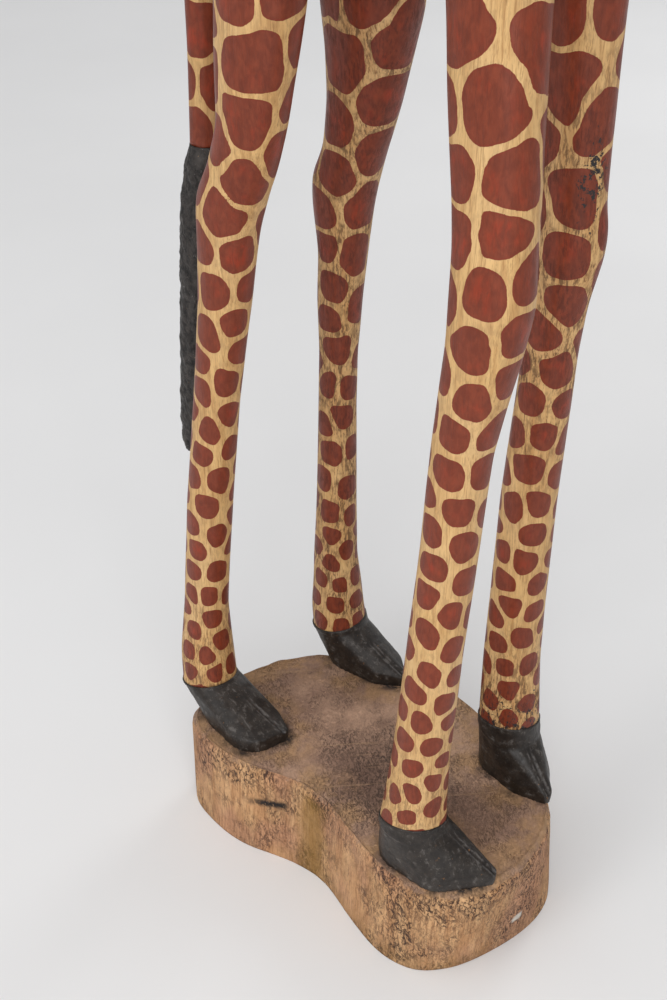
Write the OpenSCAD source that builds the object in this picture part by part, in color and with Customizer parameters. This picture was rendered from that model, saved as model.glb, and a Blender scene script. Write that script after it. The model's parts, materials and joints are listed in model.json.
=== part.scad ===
// Tall carved wooden giraffe on a kidney-shaped slab.
// It faces -Y and its right side is -X. The origin is under the middle of the slab.
// Every height below is measured from the slab's top, except the slab's own.

/* [Base] */
// Thickness of the base slab
base_height = 68; // [60:1:80]
// How much wider or narrower the slab is than the carved outline
base_spread = 1; // [0.98:0.01:1.06]

/* [Leg dowels] */
// Diameter of the dowels that pin each hoof to the slab and the leg
foot_dowel_d = 10; // [8:0.5:10]
// Depth of a foot dowel in the slab
foot_dowel_depth = 32; // [20:1:45]
// Length of a foot dowel inside the leg
foot_dowel_grip = 28; // [18:1:30]
// Diameter of the dowels between the legs and the body
hip_dowel_d = 16; // [12:1:20]
// Length of a hip dowel, half in the leg and half in the body
hip_dowel_length = 84; // [60:2:100]

/* [Neck joint] */
// Diameter of the tenon under the neck
tenon_d = 36; // [30:1:38]
// Length of the tenon below the seam
tenon_length = 75; // [60:1:85]
// Diameter of the peg that stops the neck from turning
peg_d = 8; // [6:1:8]

/* [Head] */
// Length of a horn above the skull
horn_length = 63; // [45:1:65]
// Length of an ear
ear_length = 78; // [60:1:85]
// Diameter of an eye
eye_d = 15; // [12:0.5:16]

/* [Hidden] */

wood = "burlywood";
coat = "saddlebrown";
black = "dimgray";
dowel_wood = "tan";
bead = "black";

// Radial room for glue round a fixed dowel, and for the tenon to slide
glue_gap = 0.1;
running_gap = 0.06;
// Open line between the neck and the body
seam_gap = 0.1;
// How far a hole runs past the end of its dowel
end_room = 1;
sides = 24;

hip_height = 650;
seam_height = 917;
poll_joint = 1600;
tuft_joint = 346;
rump_face = 134;

// ---------------------------------------------------------------- outline of the slab
// Points along the slab's edge, round the top and round the foot, joined by smooth closed curves
top_outline = [
    [-30, -118], [0, -119], [26, -111], [47, -95], [61, -62], [70, -22], [73, 10], [68, 48],
    [54, 78], [34, 98], [9, 112], [-20, 118], [-54, 115], [-71, 101], [-75, 78], [-71, 52],
    [-58, 20], [-55, -8], [-61, -40], [-65, -68], [-60, -94], [-47, -110]
];
foot_outline = [
    [-28, -110], [2, -115], [30, -112], [51, -96], [64, -62], [71, -22], [74, 10], [69, 48],
    [55, 79], [35, 99], [9, 113], [-20, 118], [-54, 116], [-71, 101], [-75, 76], [-73, 50],
    [-60, 18], [-56, -9], [-63, -41], [-67, -68], [-61, -91], [-45, -104]
];
edge_round = 5;
edge_inset = 0.97;
curve_steps = 3;

// Point on the smooth curve between b and c, for t from 0 to 1
function between(a, b, c, d, t) =
    0.5 * (2 * b + t * (c - a) + t * t * (2 * a - 5 * b + 4 * c - d)
    + t * t * t * (3 * b - a - 3 * c + d));

function smooth_loop(p) = [
    for (i = [0 : len(p) - 1], s = [0 : curve_steps - 1])
        let (n = len(p))
        between(p[(i + n - 1) % n], p[i], p[(i + 1) % n], p[(i + 2) % n], s / curve_steps)
];

// ---------------------------------------------------------------- carved sections
// A section is [height, x, y, width, depth, slope, ridge]: an oval across the limb.
// Slope tips it up towards +Y, and ridge raises a narrow crest on its +Y side.
function or_zero(v) = is_undef(v) ? 0 : v;
squareness = 0.93;
function rounded(c) = sign(c) * pow(abs(c), squareness);

function ring(s) = [
    for (i = [0 : sides - 1])
        let (
            a = 360 * i / sides,
            crest = i == sides / 4 ? or_zero(s[6]) : 0,
            dy = s[4] / 2 * rounded(sin(a)) + crest
        )
        [s[1] + s[3] / 2 * rounded(cos(a)), s[2] + dy, s[0] + or_zero(s[5]) * dy]
];

function middle(points) = [for (k = [0 : 2]) average([for (p = points) p[k]])];
function average(values) = (values * [for (v = values) 1]) / len(values);

// Closed solid through a stack of rings with the same number of points, lowest first
module stack(rings) {
    count = len(rings[0]);
    last = len(rings) - 1;
    walls = [
        for (k = [0 : last - 1], i = [0 : count - 1])
            let (j = (i + 1) % count, low = k * count, high = low + count)
            [low + i, high + i, high + j, low + j]
    ];
    foot = len(rings) * count;
    bottom = [for (i = [0 : count - 1]) [foot, i, (i + 1) % count]];
    top = [for (i = [0 : count - 1]) [foot + 1, last * count + (i + 1) % count, last * count + i]];
    points = concat([for (r = rings, p = r) p], [middle(rings[0]), middle(rings[last])]);
    polyhedron(points, concat(bottom, walls, top), convexity = 4);
}

module loft(sections) {
    stack([for (s = sections) ring(s)]);
}

// ---------------------------------------------------------------- legs and hooves
// Sections of each leg from the hoof to the hip
front_hip = [hip_height, 28, -73, 50, 72];
hind_hip = [hip_height, 32, 63, 55, 100];

leg_front_right_sections = [
    [30, -46, -72, 35, 38], [44, -45, -72, 32.5, 35.5], [82, -44, -74, 29, 31.5],
    [151, -42, -78, 27, 29.5], [214, -39, -81.5, 26.5, 29], [271, -37, -84, 27, 29.5],
    [298, -36.5, -88, 29, 32.5], [324, -35.5, -92, 31.5, 36], [347, -35, -94, 34, 39.5],
    [370, -34, -93, 33, 38.5], [391, -33, -91, 33, 39], [431, -32, -87, 34.5, 42],
    [468, -30, -83, 36, 44], [530, -29, -78, 40, 52], [590, -28, -75, 45, 62],
    [front_hip[0], -front_hip[1], front_hip[2], front_hip[3], front_hip[4]]
];
leg_front_left_sections = [
    [33, 48, -58, 34, 37, 0.15], [52, 47, -58, 33, 36], [90, 46, -57, 30, 33],
    [128, 44, -59, 28.5, 31.5], [197, 42, -62, 27.5, 30.5], [261, 39, -68, 26, 28.5],
    [290, 38, -70, 25, 27.5], [318, 37, -73, 26, 29], [345, 36, -77, 30, 34],
    [358, 36, -78, 29.5, 33], [370, 35, -77, 28, 31.5], [393, 34, -76, 28.5, 34],
    [432, 32, -75, 31, 38], [457, 30.5, -74, 34, 42], [530, 29, -74, 40, 52],
    [590, 28, -74, 45, 62], front_hip
];
leg_hind_right_sections = [
    [20, -47.5, 110, 33, 35, -0.25], [40, -47, 111.5, 32, 34], [58, -46, 112, 28.5, 31.5],
    [78, -46, 111, 25.5, 28.5], [154, -44, 104, 25.5, 28.5], [224, -42, 95, 24.5, 27.5],
    [287, -40, 86, 26.5, 30.5], [316, -39, 83.5, 28.5, 33.5], [330, -38.5, 82, 30, 36],
    [346, -38, 78.5, 32, 41], [364, -37.5, 69.5, 31.5, 38.5], [386, -37, 62, 31.5, 37.5],
    [422, -36, 58, 35.5, 45.5], [444, -35, 56, 37, 48.5], [500, -34, 54, 42, 60],
    [560, -33, 55, 48, 76], [615, -32, 59, 53, 92],
    [hind_hip[0], -hind_hip[1], hind_hip[2], hind_hip[3], hind_hip[4]]
];
leg_hind_left_sections = [
    [27, 45.5, 89, 33.5, 36.5, -0.12], [42, 45, 91, 32, 35], [63, 44.6, 91, 28.5, 31.5],
    [83, 44, 92, 25.5, 28.5], [122, 43, 90, 23, 26], [196, 42, 88, 21, 23.5],
    [230, 41, 86, 20.5, 23], [263, 40, 84, 24, 27], [294, 39.5, 81, 26, 29.5],
    [323, 39, 80.5, 30.5, 37], [338, 38.5, 78, 32.5, 40], [354, 38, 70.6, 31, 36.5],
    [382, 37.5, 63, 34.5, 41.5], [408, 37, 59.4, 38.5, 49.5], [432, 36, 57, 43, 59],
    [500, 34, 56, 46, 72], [560, 33, 57, 50, 84], [615, 32, 60, 53, 95], hind_hip
];

// Each hoof: centre and radius of its heel and its front on the slab, then the toe's tip
hoof_front_right_plan = [[-43, -68, 18], [-41, -88, 18], [-27, -112, 5]];
hoof_front_left_plan = [[49, -55, 14.5], [47, -75, 14], [43, -93, 4]];
hoof_hind_right_plan = [[-47, 86, 18], [-48, 66, 18], [-38, 51, 4]];
hoof_hind_left_plan = [[48, 79, 15], [52, 56, 14], [53, 39, 4]];

// Where each foot dowel stands
foot_front_right = [-45, -73];
foot_front_left = [46, -60];
foot_hind_right = [-47, 105];
foot_hind_left = [42, 84];

sole_edge = 3;
front_edge = 9;
toe_edge = 7;

module foot_rod(place, joint, gap) {
    below = foot_dowel_depth + gap;
    translate([place[0], place[1], -below])
        cylinder(h = below + joint + foot_dowel_grip + gap, r = foot_dowel_d / 2 + gap, $fn = 32);
}

module hip_rod(place, gap) {
    half_length = hip_dowel_length / 2 + (gap > 0 ? end_room : 0);
    translate([place[0], place[1], hip_height - half_length])
        cylinder(h = 2 * half_length, r = hip_dowel_d / 2 + gap, $fn = 32);
}

module leg(sections, foot, hip) {
    color(coat) on_base() difference() {
        loft(sections);
        foot_rod(foot, sections[0][0], glue_gap);
        hip_rod(hip, glue_gap);
    }
}

// Wedge from the leg's lowest section down to the sole, with the cleft cut in its toe
module hoof(plan, leg_sections, foot) {
    top = leg_sections[0];
    under = [top[0] - 1, top[1], top[2], top[3], top[4], top[5]];
    color(black) on_base() difference() {
        hull() {
            loft([under, top]);
            translate([plan[0][0], plan[0][1], 0]) cylinder(h = sole_edge, r = plan[0][2], $fn = 24);
            translate([plan[1][0], plan[1][1], 0]) cylinder(h = front_edge, r = plan[1][2], $fn = 24);
            translate([plan[2][0], plan[2][1], 0]) cylinder(h = toe_edge, r = plan[2][2], $fn = 16);
        }
        cleft(plan);
        foot_rod(foot, top[0], glue_gap);
    }
}

cleft_width = 2.4;
cleft_length = 22;
module cleft(plan) {
    along = [plan[2][0] - plan[1][0], plan[2][1] - plan[1][1]];
    turn = atan2(along[1], along[0]);
    translate([plan[2][0], plan[2][1], toe_edge - 2])
        rotate([0, 0, turn])
            translate([-cleft_length, -cleft_width / 2, 0])
                cube([cleft_length + plan[2][2] + 1, cleft_width, 20]);
}

module on_base() {
    translate([0, 0, base_height]) children();
}

function level(outline, spread, height) = [
    for (p = smooth_loop(outline)) [spread * p[0], spread * p[1], height]
];

module base() {
    color(wood) difference() {
        stack([
            level(foot_outline, base_spread, 0),
            level(top_outline, base_spread, base_height - edge_round),
            level(top_outline, base_spread * edge_inset, base_height)
        ]);
        on_base() {
            foot_rod(foot_front_right, 0, glue_gap);
            foot_rod(foot_front_left, 0, glue_gap);
            foot_rod(foot_hind_right, 0, glue_gap);
            foot_rod(foot_hind_left, 0, glue_gap);
        }
    }
}

module foot_dowel(place, joint) {
    color(dowel_wood) on_base() foot_rod(place, joint, 0);
}

module hip_dowel(place) {
    color(dowel_wood) on_base() hip_rod(place, 0);
}

// ---------------------------------------------------------------- body
// Barrel sections from rump to chest: [distance forward, 0, height, width, depth]
barrel_sections = [
    [-rump_face, 0, 788, 32, 44], [-127, 0, 787, 64, 82], [-108, 0, 785, 96, 116],
    [-75, 0, 783, 112, 136], [-35, 0, 784, 116, 146], [5, 0, 788, 118, 158],
    [45, 0, 792, 118, 170], [80, 0, 797, 108, 170], [104, 0, 802, 88, 148],
    [120, 0, 807, 62, 110], [128, 0, 810, 36, 66]
];
// Shoulder and haunch sections above each hip joint, on the left side
shoulder_sections = [
    front_hip, [700, 29, -74, 54, 80], [750, 30, -74, 58, 88], [800, 27, -72, 54, 84],
    [835, 21, -68, 40, 60]
];
haunch_sections = [
    hind_hip, [700, 33, 68, 58, 106], [750, 33, 74, 60, 104], [800, 29, 80, 52, 88],
    [835, 22, 84, 38, 60]
];
neck_root_sections = [
    [780, 0, -76, 80, 96, 0, 0], [850, 0, -85, 82, 106, 0, 2], [888, 0, -91, 78, 101, 0, 5],
    [seam_height, 0, -95, 73, 92, 0, 8]
];

module mirrored() {
    children();
    mirror([1, 0, 0]) children();
}

neck_place = [0, -95];
peg_place = [0, -64];
peg_length = 30;

module tenon_rod(below, above, gap) {
    translate([neck_place[0], neck_place[1], seam_height - below])
        cylinder(h = below + above, r = tenon_d / 2 + gap, $fn = 64);
}

module peg_rod(below, above, gap) {
    translate([peg_place[0], peg_place[1], seam_height - below])
        cylinder(h = below + above, r = peg_d / 2 + gap, $fn = 32);
}

tail_height = 785;
tail_dowel_d = 9;
tail_dowel_length = 48;
tail_dowel_out = 11;

module tail_rod(gap) {
    room = gap > 0 ? end_room : 0;
    translate([0, rump_face + tail_dowel_out + gap, tail_height])
        rotate([90, 0, 0])
            cylinder(h = tail_dowel_length + gap + room, r = tail_dowel_d / 2 + gap, $fn = 32);
}

// The limb roots and the barrel are one carving; resize keeps their size and joins their skins
module torso() {
    color(coat) on_base() difference() {
        resize([0, 0, 0]) union() {
            rotate([90, 0, 0]) loft(barrel_sections);
            mirrored() loft(shoulder_sections);
            mirrored() loft(haunch_sections);
            loft(neck_root_sections);
        }
        mirrored() {
            hip_rod([front_hip[1], front_hip[2]], glue_gap);
            hip_rod([hind_hip[1], hind_hip[2]], glue_gap);
        }
        tenon_rod(tenon_length + end_room, 1, running_gap);
        peg_rod(peg_length / 2 + end_room, 1, glue_gap);
        tail_rod(glue_gap);
    }
}

// ---------------------------------------------------------------- tail
tail_sections = [
    [tuft_joint, 1, 150, 18, 18], [400, 1.5, 148, 18, 18], [600, 1, 147.5, 18.5, 18.5],
    [700, 0, 147, 19, 19], [750, 0, 146, 21, 21], [785, 0, 144, 23, 23],
    [805, 0, 141, 19, 17], [813, 0, 139, 10, 9]
];
tuft_sections = [
    [140, -3, 177, 7, 7], [150, -2, 175, 14, 14], [172, -1, 171.5, 20, 20],
    [214, -0.5, 166.5, 23, 23], [280, 0, 159.5, 24, 24], [312, 0, 156, 23.5, 23.5],
    [334, 0.5, 152, 22.5, 22.5], [tuft_joint, 1, 150, 19, 19]
];

module tail() {
    color(coat) on_base() difference() {
        loft(tail_sections);
        translate([-50, rump_face - 100, tuft_joint]) cube([100, 100, 600]);
        tail_rod(glue_gap);
    }
}

module tail_tuft() {
    color(black) on_base() loft(tuft_sections);
}

module tail_dowel() {
    color(dowel_wood) on_base() tail_rod(0);
}

// ---------------------------------------------------------------- neck
mane_ridge = 9;
neck_sections = [
    [seam_height + seam_gap, 0, -95, 73, 92, 0, 8], [980, 0, -101, 62, 80, 0, mane_ridge],
    [1060, 0, -108, 54, 69, 0, mane_ridge], [1160, 0, -116, 48, 61, 0, mane_ridge],
    [1270, 0, -124, 44, 56, 0, mane_ridge], [1390, 0, -131, 41, 52, 0, mane_ridge],
    [1500, 0, -137, 40, 50, 0, mane_ridge], [poll_joint, 0, -143, 41, 51, 0, 8]
];
tenon_grip = 60;
head_dowel_d = 14;
head_dowel_length = 60;
poll_place = [0, -144];

module head_rod(gap) {
    half_length = head_dowel_length / 2 + (gap > 0 ? end_room : 0);
    translate([poll_place[0], poll_place[1], poll_joint - half_length])
        cylinder(h = 2 * half_length, r = head_dowel_d / 2 + gap, $fn = 32);
}

module neck() {
    color(coat) on_base() difference() {
        loft(neck_sections);
        tenon_rod(1, tenon_grip + end_room, glue_gap);
        peg_rod(1, peg_length / 2 + end_room, running_gap);
        head_rod(glue_gap);
    }
}

module neck_tenon() {
    color(dowel_wood) on_base() tenon_rod(tenon_length, tenon_grip, 0);
}

module neck_peg() {
    color(dowel_wood) on_base() peg_rod(peg_length / 2, peg_length / 2, 0);
}

module head_dowel() {
    color(dowel_wood) on_base() head_rod(0);
}

// ---------------------------------------------------------------- head
// The skull is lofted along the face: [distance from the poll, 0, rise, width, depth]
head_tilt = 30;
poll_point = [0, -120, 1692];
skull_sections = [
    [0, 0, 0, 26, 30], [7, 0, 0, 44, 48], [28, 0, 1, 56, 60], [56, 0, 2, 62, 61],
    [84, 0, 0, 53, 54], [114, 0, -3, 43, 46], [144, 0, -6, 39, 41], [168, 0, -8, 42, 39],
    [187, 0, -10, 36, 32], [197, 0, -12, 21, 19]
];
throat_sections = [
    [poll_joint, 0, -143, 41, 51, 0, 8], [1640, 0, -147, 44, 56, 0, 7], [1675, 0, -152, 46, 58]
];

// Puts a shape drawn along the face, with Z forward and Y up, on the top of the neck
module on_skull() {
    translate(poll_point) rotate([90 + head_tilt, 0, 0]) children();
}

// An eye is a domed bead in a round pocket; its place is the middle of the pocket's floor
eye_place = [22, 12, 56];
eye_room = 20;
eye_dome_d = 1.2 * eye_d;
eye_dome_rise = 2;

module at_eye() {
    on_skull() translate(eye_place) rotate([0, 90, 0]) children();
}

module eye_pocket() {
    at_eye() translate([0, 0, -glue_gap]) cylinder(h = eye_room, r = eye_d / 2 + glue_gap, $fn = 32);
}

module eye_shape() {
    on_base() at_eye() intersection() {
        cylinder(h = eye_room, r = eye_d / 2, $fn = 32);
        translate([0, 0, eye_dome_rise]) sphere(r = eye_dome_d / 2, $fn = 48);
    }
}

module eye_right() {
    color(bead) mirror([1, 0, 0]) eye_shape();
}

module eye_left() {
    color(bead) eye_shape();
}

// A horn is a round peg let into the skull, a tapering stem and a knob
horn_place = [13, 16, 29];
horn_hole_length = 27;
horn_root_r = 8;
horn_tip_r = 6.5;
horn_knob_r = 8.5;
horn_socket = 9;
horn_lean = 12;

module at_horn() {
    on_skull() translate(horn_place) rotate([-90 - head_tilt - horn_lean, 0, 0]) children();
}

module horn_hole() {
    at_horn() translate([0, 0, -glue_gap])
        cylinder(h = horn_hole_length, r = horn_root_r + glue_gap, $fn = 32);
}

module horn_shape() {
    stem = horn_length - horn_knob_r;
    on_base() at_horn() {
        cylinder(h = horn_socket, r = horn_root_r, $fn = 32);
        translate([0, 0, horn_socket])
            cylinder(h = stem, r1 = horn_root_r, r2 = horn_tip_r, $fn = 32);
        translate([0, 0, horn_socket + stem])
            sphere(r = horn_knob_r, $fn = 32);
    }
}

module horn_right() {
    color(coat) mirror([1, 0, 0]) horn_shape();
}

module horn_left() {
    color(coat) horn_shape();
}

// An ear is a leaf on a round peg, pointing out, up and back from the skull
ear_place = [20, 12, 10];
ear_turn = [-30, 112, 0];
ear_spin = 75;
ear_peg_r = 5;
ear_peg_length = 12;
ear_leaf_start = 6;
// Leaf sections as parts of the ear's length, with width and thickness
ear_sections = [[0, 13, 11], [0.14, 18, 11], [0.38, 29, 9], [0.62, 29, 7], [0.85, 17, 5], [1, 5, 3]];

module at_ear() {
    on_skull() translate(ear_place) rotate(ear_turn) children();
}

module ear_peg(gap) {
    translate([0, 0, -ear_peg_length - gap])
        cylinder(h = ear_peg_length + 2 * ear_leaf_start, r = ear_peg_r + gap, $fn = 32);
}

module ear_shape() {
    on_base() at_ear() {
        ear_peg(0);
        rotate([0, 0, ear_spin])
            loft([for (s = ear_sections) [ear_leaf_start + s[0] * ear_length, 0, 0, s[1], s[2]]]);
    }
}

module ear_right() {
    color(coat) mirror([1, 0, 0]) ear_shape();
}

module ear_left() {
    color(coat) ear_shape();
}

module head() {
    color(coat) on_base() difference() {
        resize([0, 0, 0]) union() {
            on_skull() loft(skull_sections);
            loft(throat_sections);
        }
        mirrored() eye_pocket();
        mirrored() horn_hole();
        mirrored() at_ear() ear_peg(glue_gap);
        head_rod(glue_gap);
    }
}

base();
hoof(hoof_front_right_plan, leg_front_right_sections, foot_front_right);  // hoof_front_right
hoof(hoof_front_left_plan, leg_front_left_sections, foot_front_left);  // hoof_front_left
hoof(hoof_hind_right_plan, leg_hind_right_sections, foot_hind_right);  // hoof_hind_right
hoof(hoof_hind_left_plan, leg_hind_left_sections, foot_hind_left);  // hoof_hind_left
leg(leg_front_right_sections, foot_front_right, [-front_hip[1], front_hip[2]]);  // leg_front_right
leg(leg_front_left_sections, foot_front_left, [front_hip[1], front_hip[2]]);  // leg_front_left
leg(leg_hind_right_sections, foot_hind_right, [-hind_hip[1], hind_hip[2]]);  // leg_hind_right
leg(leg_hind_left_sections, foot_hind_left, [hind_hip[1], hind_hip[2]]);  // leg_hind_left
foot_dowel(foot_front_right, leg_front_right_sections[0][0]);  // foot_dowel_front_right
foot_dowel(foot_front_left, leg_front_left_sections[0][0]);  // foot_dowel_front_left
foot_dowel(foot_hind_right, leg_hind_right_sections[0][0]);  // foot_dowel_hind_right
foot_dowel(foot_hind_left, leg_hind_left_sections[0][0]);  // foot_dowel_hind_left
hip_dowel([-front_hip[1], front_hip[2]]);  // hip_dowel_front_right
hip_dowel([front_hip[1], front_hip[2]]);  // hip_dowel_front_left
hip_dowel([-hind_hip[1], hind_hip[2]]);  // hip_dowel_hind_right
hip_dowel([hind_hip[1], hind_hip[2]]);  // hip_dowel_hind_left
torso();
tail();
tail_dowel();
tail_tuft();
neck();
neck_tenon();
neck_peg();
head();
head_dowel();
ear_right();
ear_left();
horn_right();
horn_left();
eye_right();
eye_left();
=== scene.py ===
"""Looks of a tall carved and painted wooden giraffe on a log slab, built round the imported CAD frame.

Each carved piece is a dense smooth skin taken off its CAD node. Painted patches are scattered over
the skins by rule, kept as signed distances on the vertices, and coloured by procedural materials.
Lengths are in metres; the frame's +Z is up and the giraffe faces -Y.
"""

import json
import math

import bmesh
import bpy
import numpy as np
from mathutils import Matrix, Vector
from mathutils.bvhtree import BVHTree

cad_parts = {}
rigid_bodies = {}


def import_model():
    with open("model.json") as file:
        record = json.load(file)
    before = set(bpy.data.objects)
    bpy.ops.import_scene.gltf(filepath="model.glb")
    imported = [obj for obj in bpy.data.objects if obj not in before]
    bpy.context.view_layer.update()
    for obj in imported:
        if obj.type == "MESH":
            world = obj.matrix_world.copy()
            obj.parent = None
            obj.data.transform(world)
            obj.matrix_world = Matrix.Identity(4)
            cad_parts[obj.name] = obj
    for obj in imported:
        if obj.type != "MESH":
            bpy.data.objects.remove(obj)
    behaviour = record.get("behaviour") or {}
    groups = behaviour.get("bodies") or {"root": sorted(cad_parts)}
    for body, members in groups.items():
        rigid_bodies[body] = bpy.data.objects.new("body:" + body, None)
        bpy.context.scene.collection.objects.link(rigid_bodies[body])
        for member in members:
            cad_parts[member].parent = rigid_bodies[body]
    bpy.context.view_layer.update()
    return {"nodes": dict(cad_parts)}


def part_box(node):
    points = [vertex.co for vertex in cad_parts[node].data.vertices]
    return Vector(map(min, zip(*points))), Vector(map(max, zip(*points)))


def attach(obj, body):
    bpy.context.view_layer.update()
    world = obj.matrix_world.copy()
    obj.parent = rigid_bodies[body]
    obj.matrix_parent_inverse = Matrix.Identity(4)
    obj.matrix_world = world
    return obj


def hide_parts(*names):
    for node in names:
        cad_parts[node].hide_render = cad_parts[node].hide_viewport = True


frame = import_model()
NODES = frame["nodes"]
MM = 0.001
SLAB_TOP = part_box("base")[1].z
SIDES = ("front_right", "front_left", "hind_right", "hind_left")
NOISE_SHIFT = 1000.0


# ------------------------------------------------------------------ numbers and noise
def ramp(value, low, high):
    """0 below low, 1 above high, smooth between."""
    t = np.clip((value - low) / (high - low), 0, 1)
    return t * t * (3 - 2 * t)


def hashed(ix, iy, iz, seed):
    """A repeatable number from 0 to 1 for each lattice point."""
    h = ix.astype(np.uint64) * np.uint64(374761393) + iy.astype(np.uint64) * np.uint64(668265263)
    h += iz.astype(np.uint64) * np.uint64(2246822519) + np.uint64(seed * 40503 + 977)
    h &= np.uint64(0xFFFFFFFF)
    h ^= h >> np.uint64(15)
    h = (h * np.uint64(2654435761)) & np.uint64(0xFFFFFFFF)
    h ^= h >> np.uint64(13)
    h = (h * np.uint64(1597334677)) & np.uint64(0xFFFFFFFF)
    h ^= h >> np.uint64(16)
    return h.astype(np.float64) / 4294967295.0


def noise(points, size, seed=0, octaves=1):
    """Smooth noise from -1 to 1 with bumps about size mm across, which may differ along x, y and z."""
    total = np.zeros(len(points))
    strength = 1.0
    weight = 0.0
    for octave in range(octaves):
        p = points / (np.asarray(size) * MM / 2**octave) + NOISE_SHIFT
        cell = np.floor(p).astype(np.int64)
        t = p - cell
        t = t * t * (3 - 2 * t)
        value = np.zeros(len(points))
        for dx in (0, 1):
            for dy in (0, 1):
                for dz in (0, 1):
                    share = (t[:, 0] if dx else 1 - t[:, 0]) * (t[:, 1] if dy else 1 - t[:, 1])
                    share = share * (t[:, 2] if dz else 1 - t[:, 2])
                    corner = hashed(cell[:, 0] + dx, cell[:, 1] + dy, cell[:, 2] + dz, seed + octave)
                    value += share * corner
        total += strength * (2 * value - 1)
        weight += strength
        strength *= 0.5
    return total / weight


def blur(values, sigma, closed):
    """Gaussian blur along the first axis; open ends are continued straight, closed ones wrap round."""
    reach = int(math.ceil(3 * sigma))
    kernel = np.exp(-0.5 * (np.arange(-reach, reach + 1) / sigma) ** 2)
    kernel /= kernel.sum()
    n = len(values)
    if closed:
        padded = values[np.arange(-reach, n + reach) % n]
    else:
        before = 2 * values[0] - values[np.minimum(np.arange(reach, 0, -1), n - 1)]
        after = 2 * values[-1] - values[np.maximum(n - 1 - np.arange(1, reach + 1), 0)]
        padded = np.concatenate([before, values, after])
    out = np.zeros_like(values)
    for k, w in enumerate(kernel):
        out += w * padded[k : k + n]
    return out


# ------------------------------------------------------------------ meshes
def vectors(mesh, name):
    """The places ("co") or directions ("normal") of a mesh's vertices, one row each."""
    rows = np.empty(len(mesh.vertices) * 3)
    mesh.vertices.foreach_get(name, rows)
    return rows.reshape(-1, 3)


def coords(mesh):
    return vectors(mesh, "co")


def normals(mesh):
    return vectors(mesh, "normal")


def surface(obj):
    """Where an object's vertices are, and which way each faces."""
    return coords(obj.data), normals(obj.data)


def set_coords(mesh, co):
    mesh.vertices.foreach_set("co", co.ravel())
    mesh.update()


def set_value(obj, name, values):
    """Keeps a named number on each vertex, for the materials to read."""
    attributes = obj.data.attributes
    layer = attributes.get(name) or attributes.new(name, "FLOAT", "POINT")
    layer.data.foreach_set("value", np.asarray(values, np.float32))


def value_of(obj, name):
    values = np.empty(len(obj.data.vertices), np.float32)
    obj.data.attributes[name].data.foreach_get("value", values)
    return values


def add_object(name, verts, faces):
    mesh = bpy.data.meshes.new(name)
    mesh.from_pydata([tuple(v) for v in verts], [], faces)
    mesh.update()
    obj = bpy.data.objects.new(name, mesh)
    bpy.context.scene.collection.objects.link(obj)
    return obj


def apply_modifiers(obj):
    deps = bpy.context.evaluated_depsgraph_get()
    done = bpy.data.meshes.new_from_object(obj.evaluated_get(deps))
    obj.modifiers.clear()
    old = obj.data
    obj.data = done
    bpy.data.meshes.remove(old)


def ring_faces(rows, around, turns=False):
    """Faces between neighbouring rings of points; where it turns, the last ring joins the first."""
    faces = []
    for k in range(rows if turns else rows - 1):
        here, there = k * around, (k + 1) % rows * around
        for i in range(around):
            j = (i + 1) % around
            faces.append((here + i, here + j, there + j, there + i))
    return faces


def end_fans(around, low_middle, high_middle, last):
    """Triangles that close the first ring and the one that starts at last, each round its middle point."""
    faces = []
    for i in range(around):
        j = (i + 1) % around
        faces += [(low_middle, j, i), (high_middle, last + i, last + j)]
    return faces


def joined(sources):
    """The vertices and the faces of several objects together."""
    verts, faces = [], []
    for source in sources:
        start = len(verts)
        verts += [tuple(v.co) for v in source.data.vertices]
        faces += [tuple(start + i for i in p.vertices) for p in source.data.polygons]
    return verts, faces


def middle_of(node):
    """The middle of a CAD node's box."""
    return np.array([(a + b) / 2 for a, b in zip(*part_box(node))])


def bar_box(node):
    """A dowel's box: its two corners, its size, the number of its long axis and its middle."""
    low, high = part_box(node)
    size = high - low
    return low, high, size, max(range(3), key=lambda k: size[k]), (low + high) / 2


def tree_of(node):
    mesh = NODES[node].data
    return BVHTree.FromPolygons([v.co for v in mesh.vertices], [p.vertices for p in mesh.polygons])


def radial_hit(tree, centre, z, angle):
    """Distance from centre to the outer skin at that height and angle."""
    reach = 0.3
    way = Vector((math.cos(angle), math.sin(angle), 0))
    start = Vector((centre[0], centre[1], z)) + way * reach
    hit = tree.ray_cast(start, -way, reach)
    return reach - hit[3] if hit[0] is not None else None


def centre_at(tree, guess, z):
    """Middle of the section at height z."""
    centre = np.array(guess, float)
    for _ in range(3):
        for axis in (0, 1):
            far = radial_hit(tree, centre, z, axis * math.pi / 2)
            near = radial_hit(tree, centre, z, axis * math.pi / 2 + math.pi)
            if far is not None and near is not None:
                centre[axis] += (far - near) / 2
    return centre


def foot_plane(tree, centre, low, radius):
    """Heights (a, b, c) of a limb's lower end as a + b x + c y."""
    rows, heights = [], []
    for k in range(12):
        angle = k * math.pi / 6
        x = centre[0] + radius * math.cos(angle)
        y = centre[1] + radius * math.sin(angle)
        hit = tree.ray_cast(Vector((x, y, low - 0.05)), Vector((0, 0, 1)))
        if hit[0] is not None and hit[0].z < low + 0.02:
            rows.append([1, x, y])
            heights.append(hit[0].z)
    return np.linalg.lstsq(np.array(rows), np.array(heights), rcond=None)[0]


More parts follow.
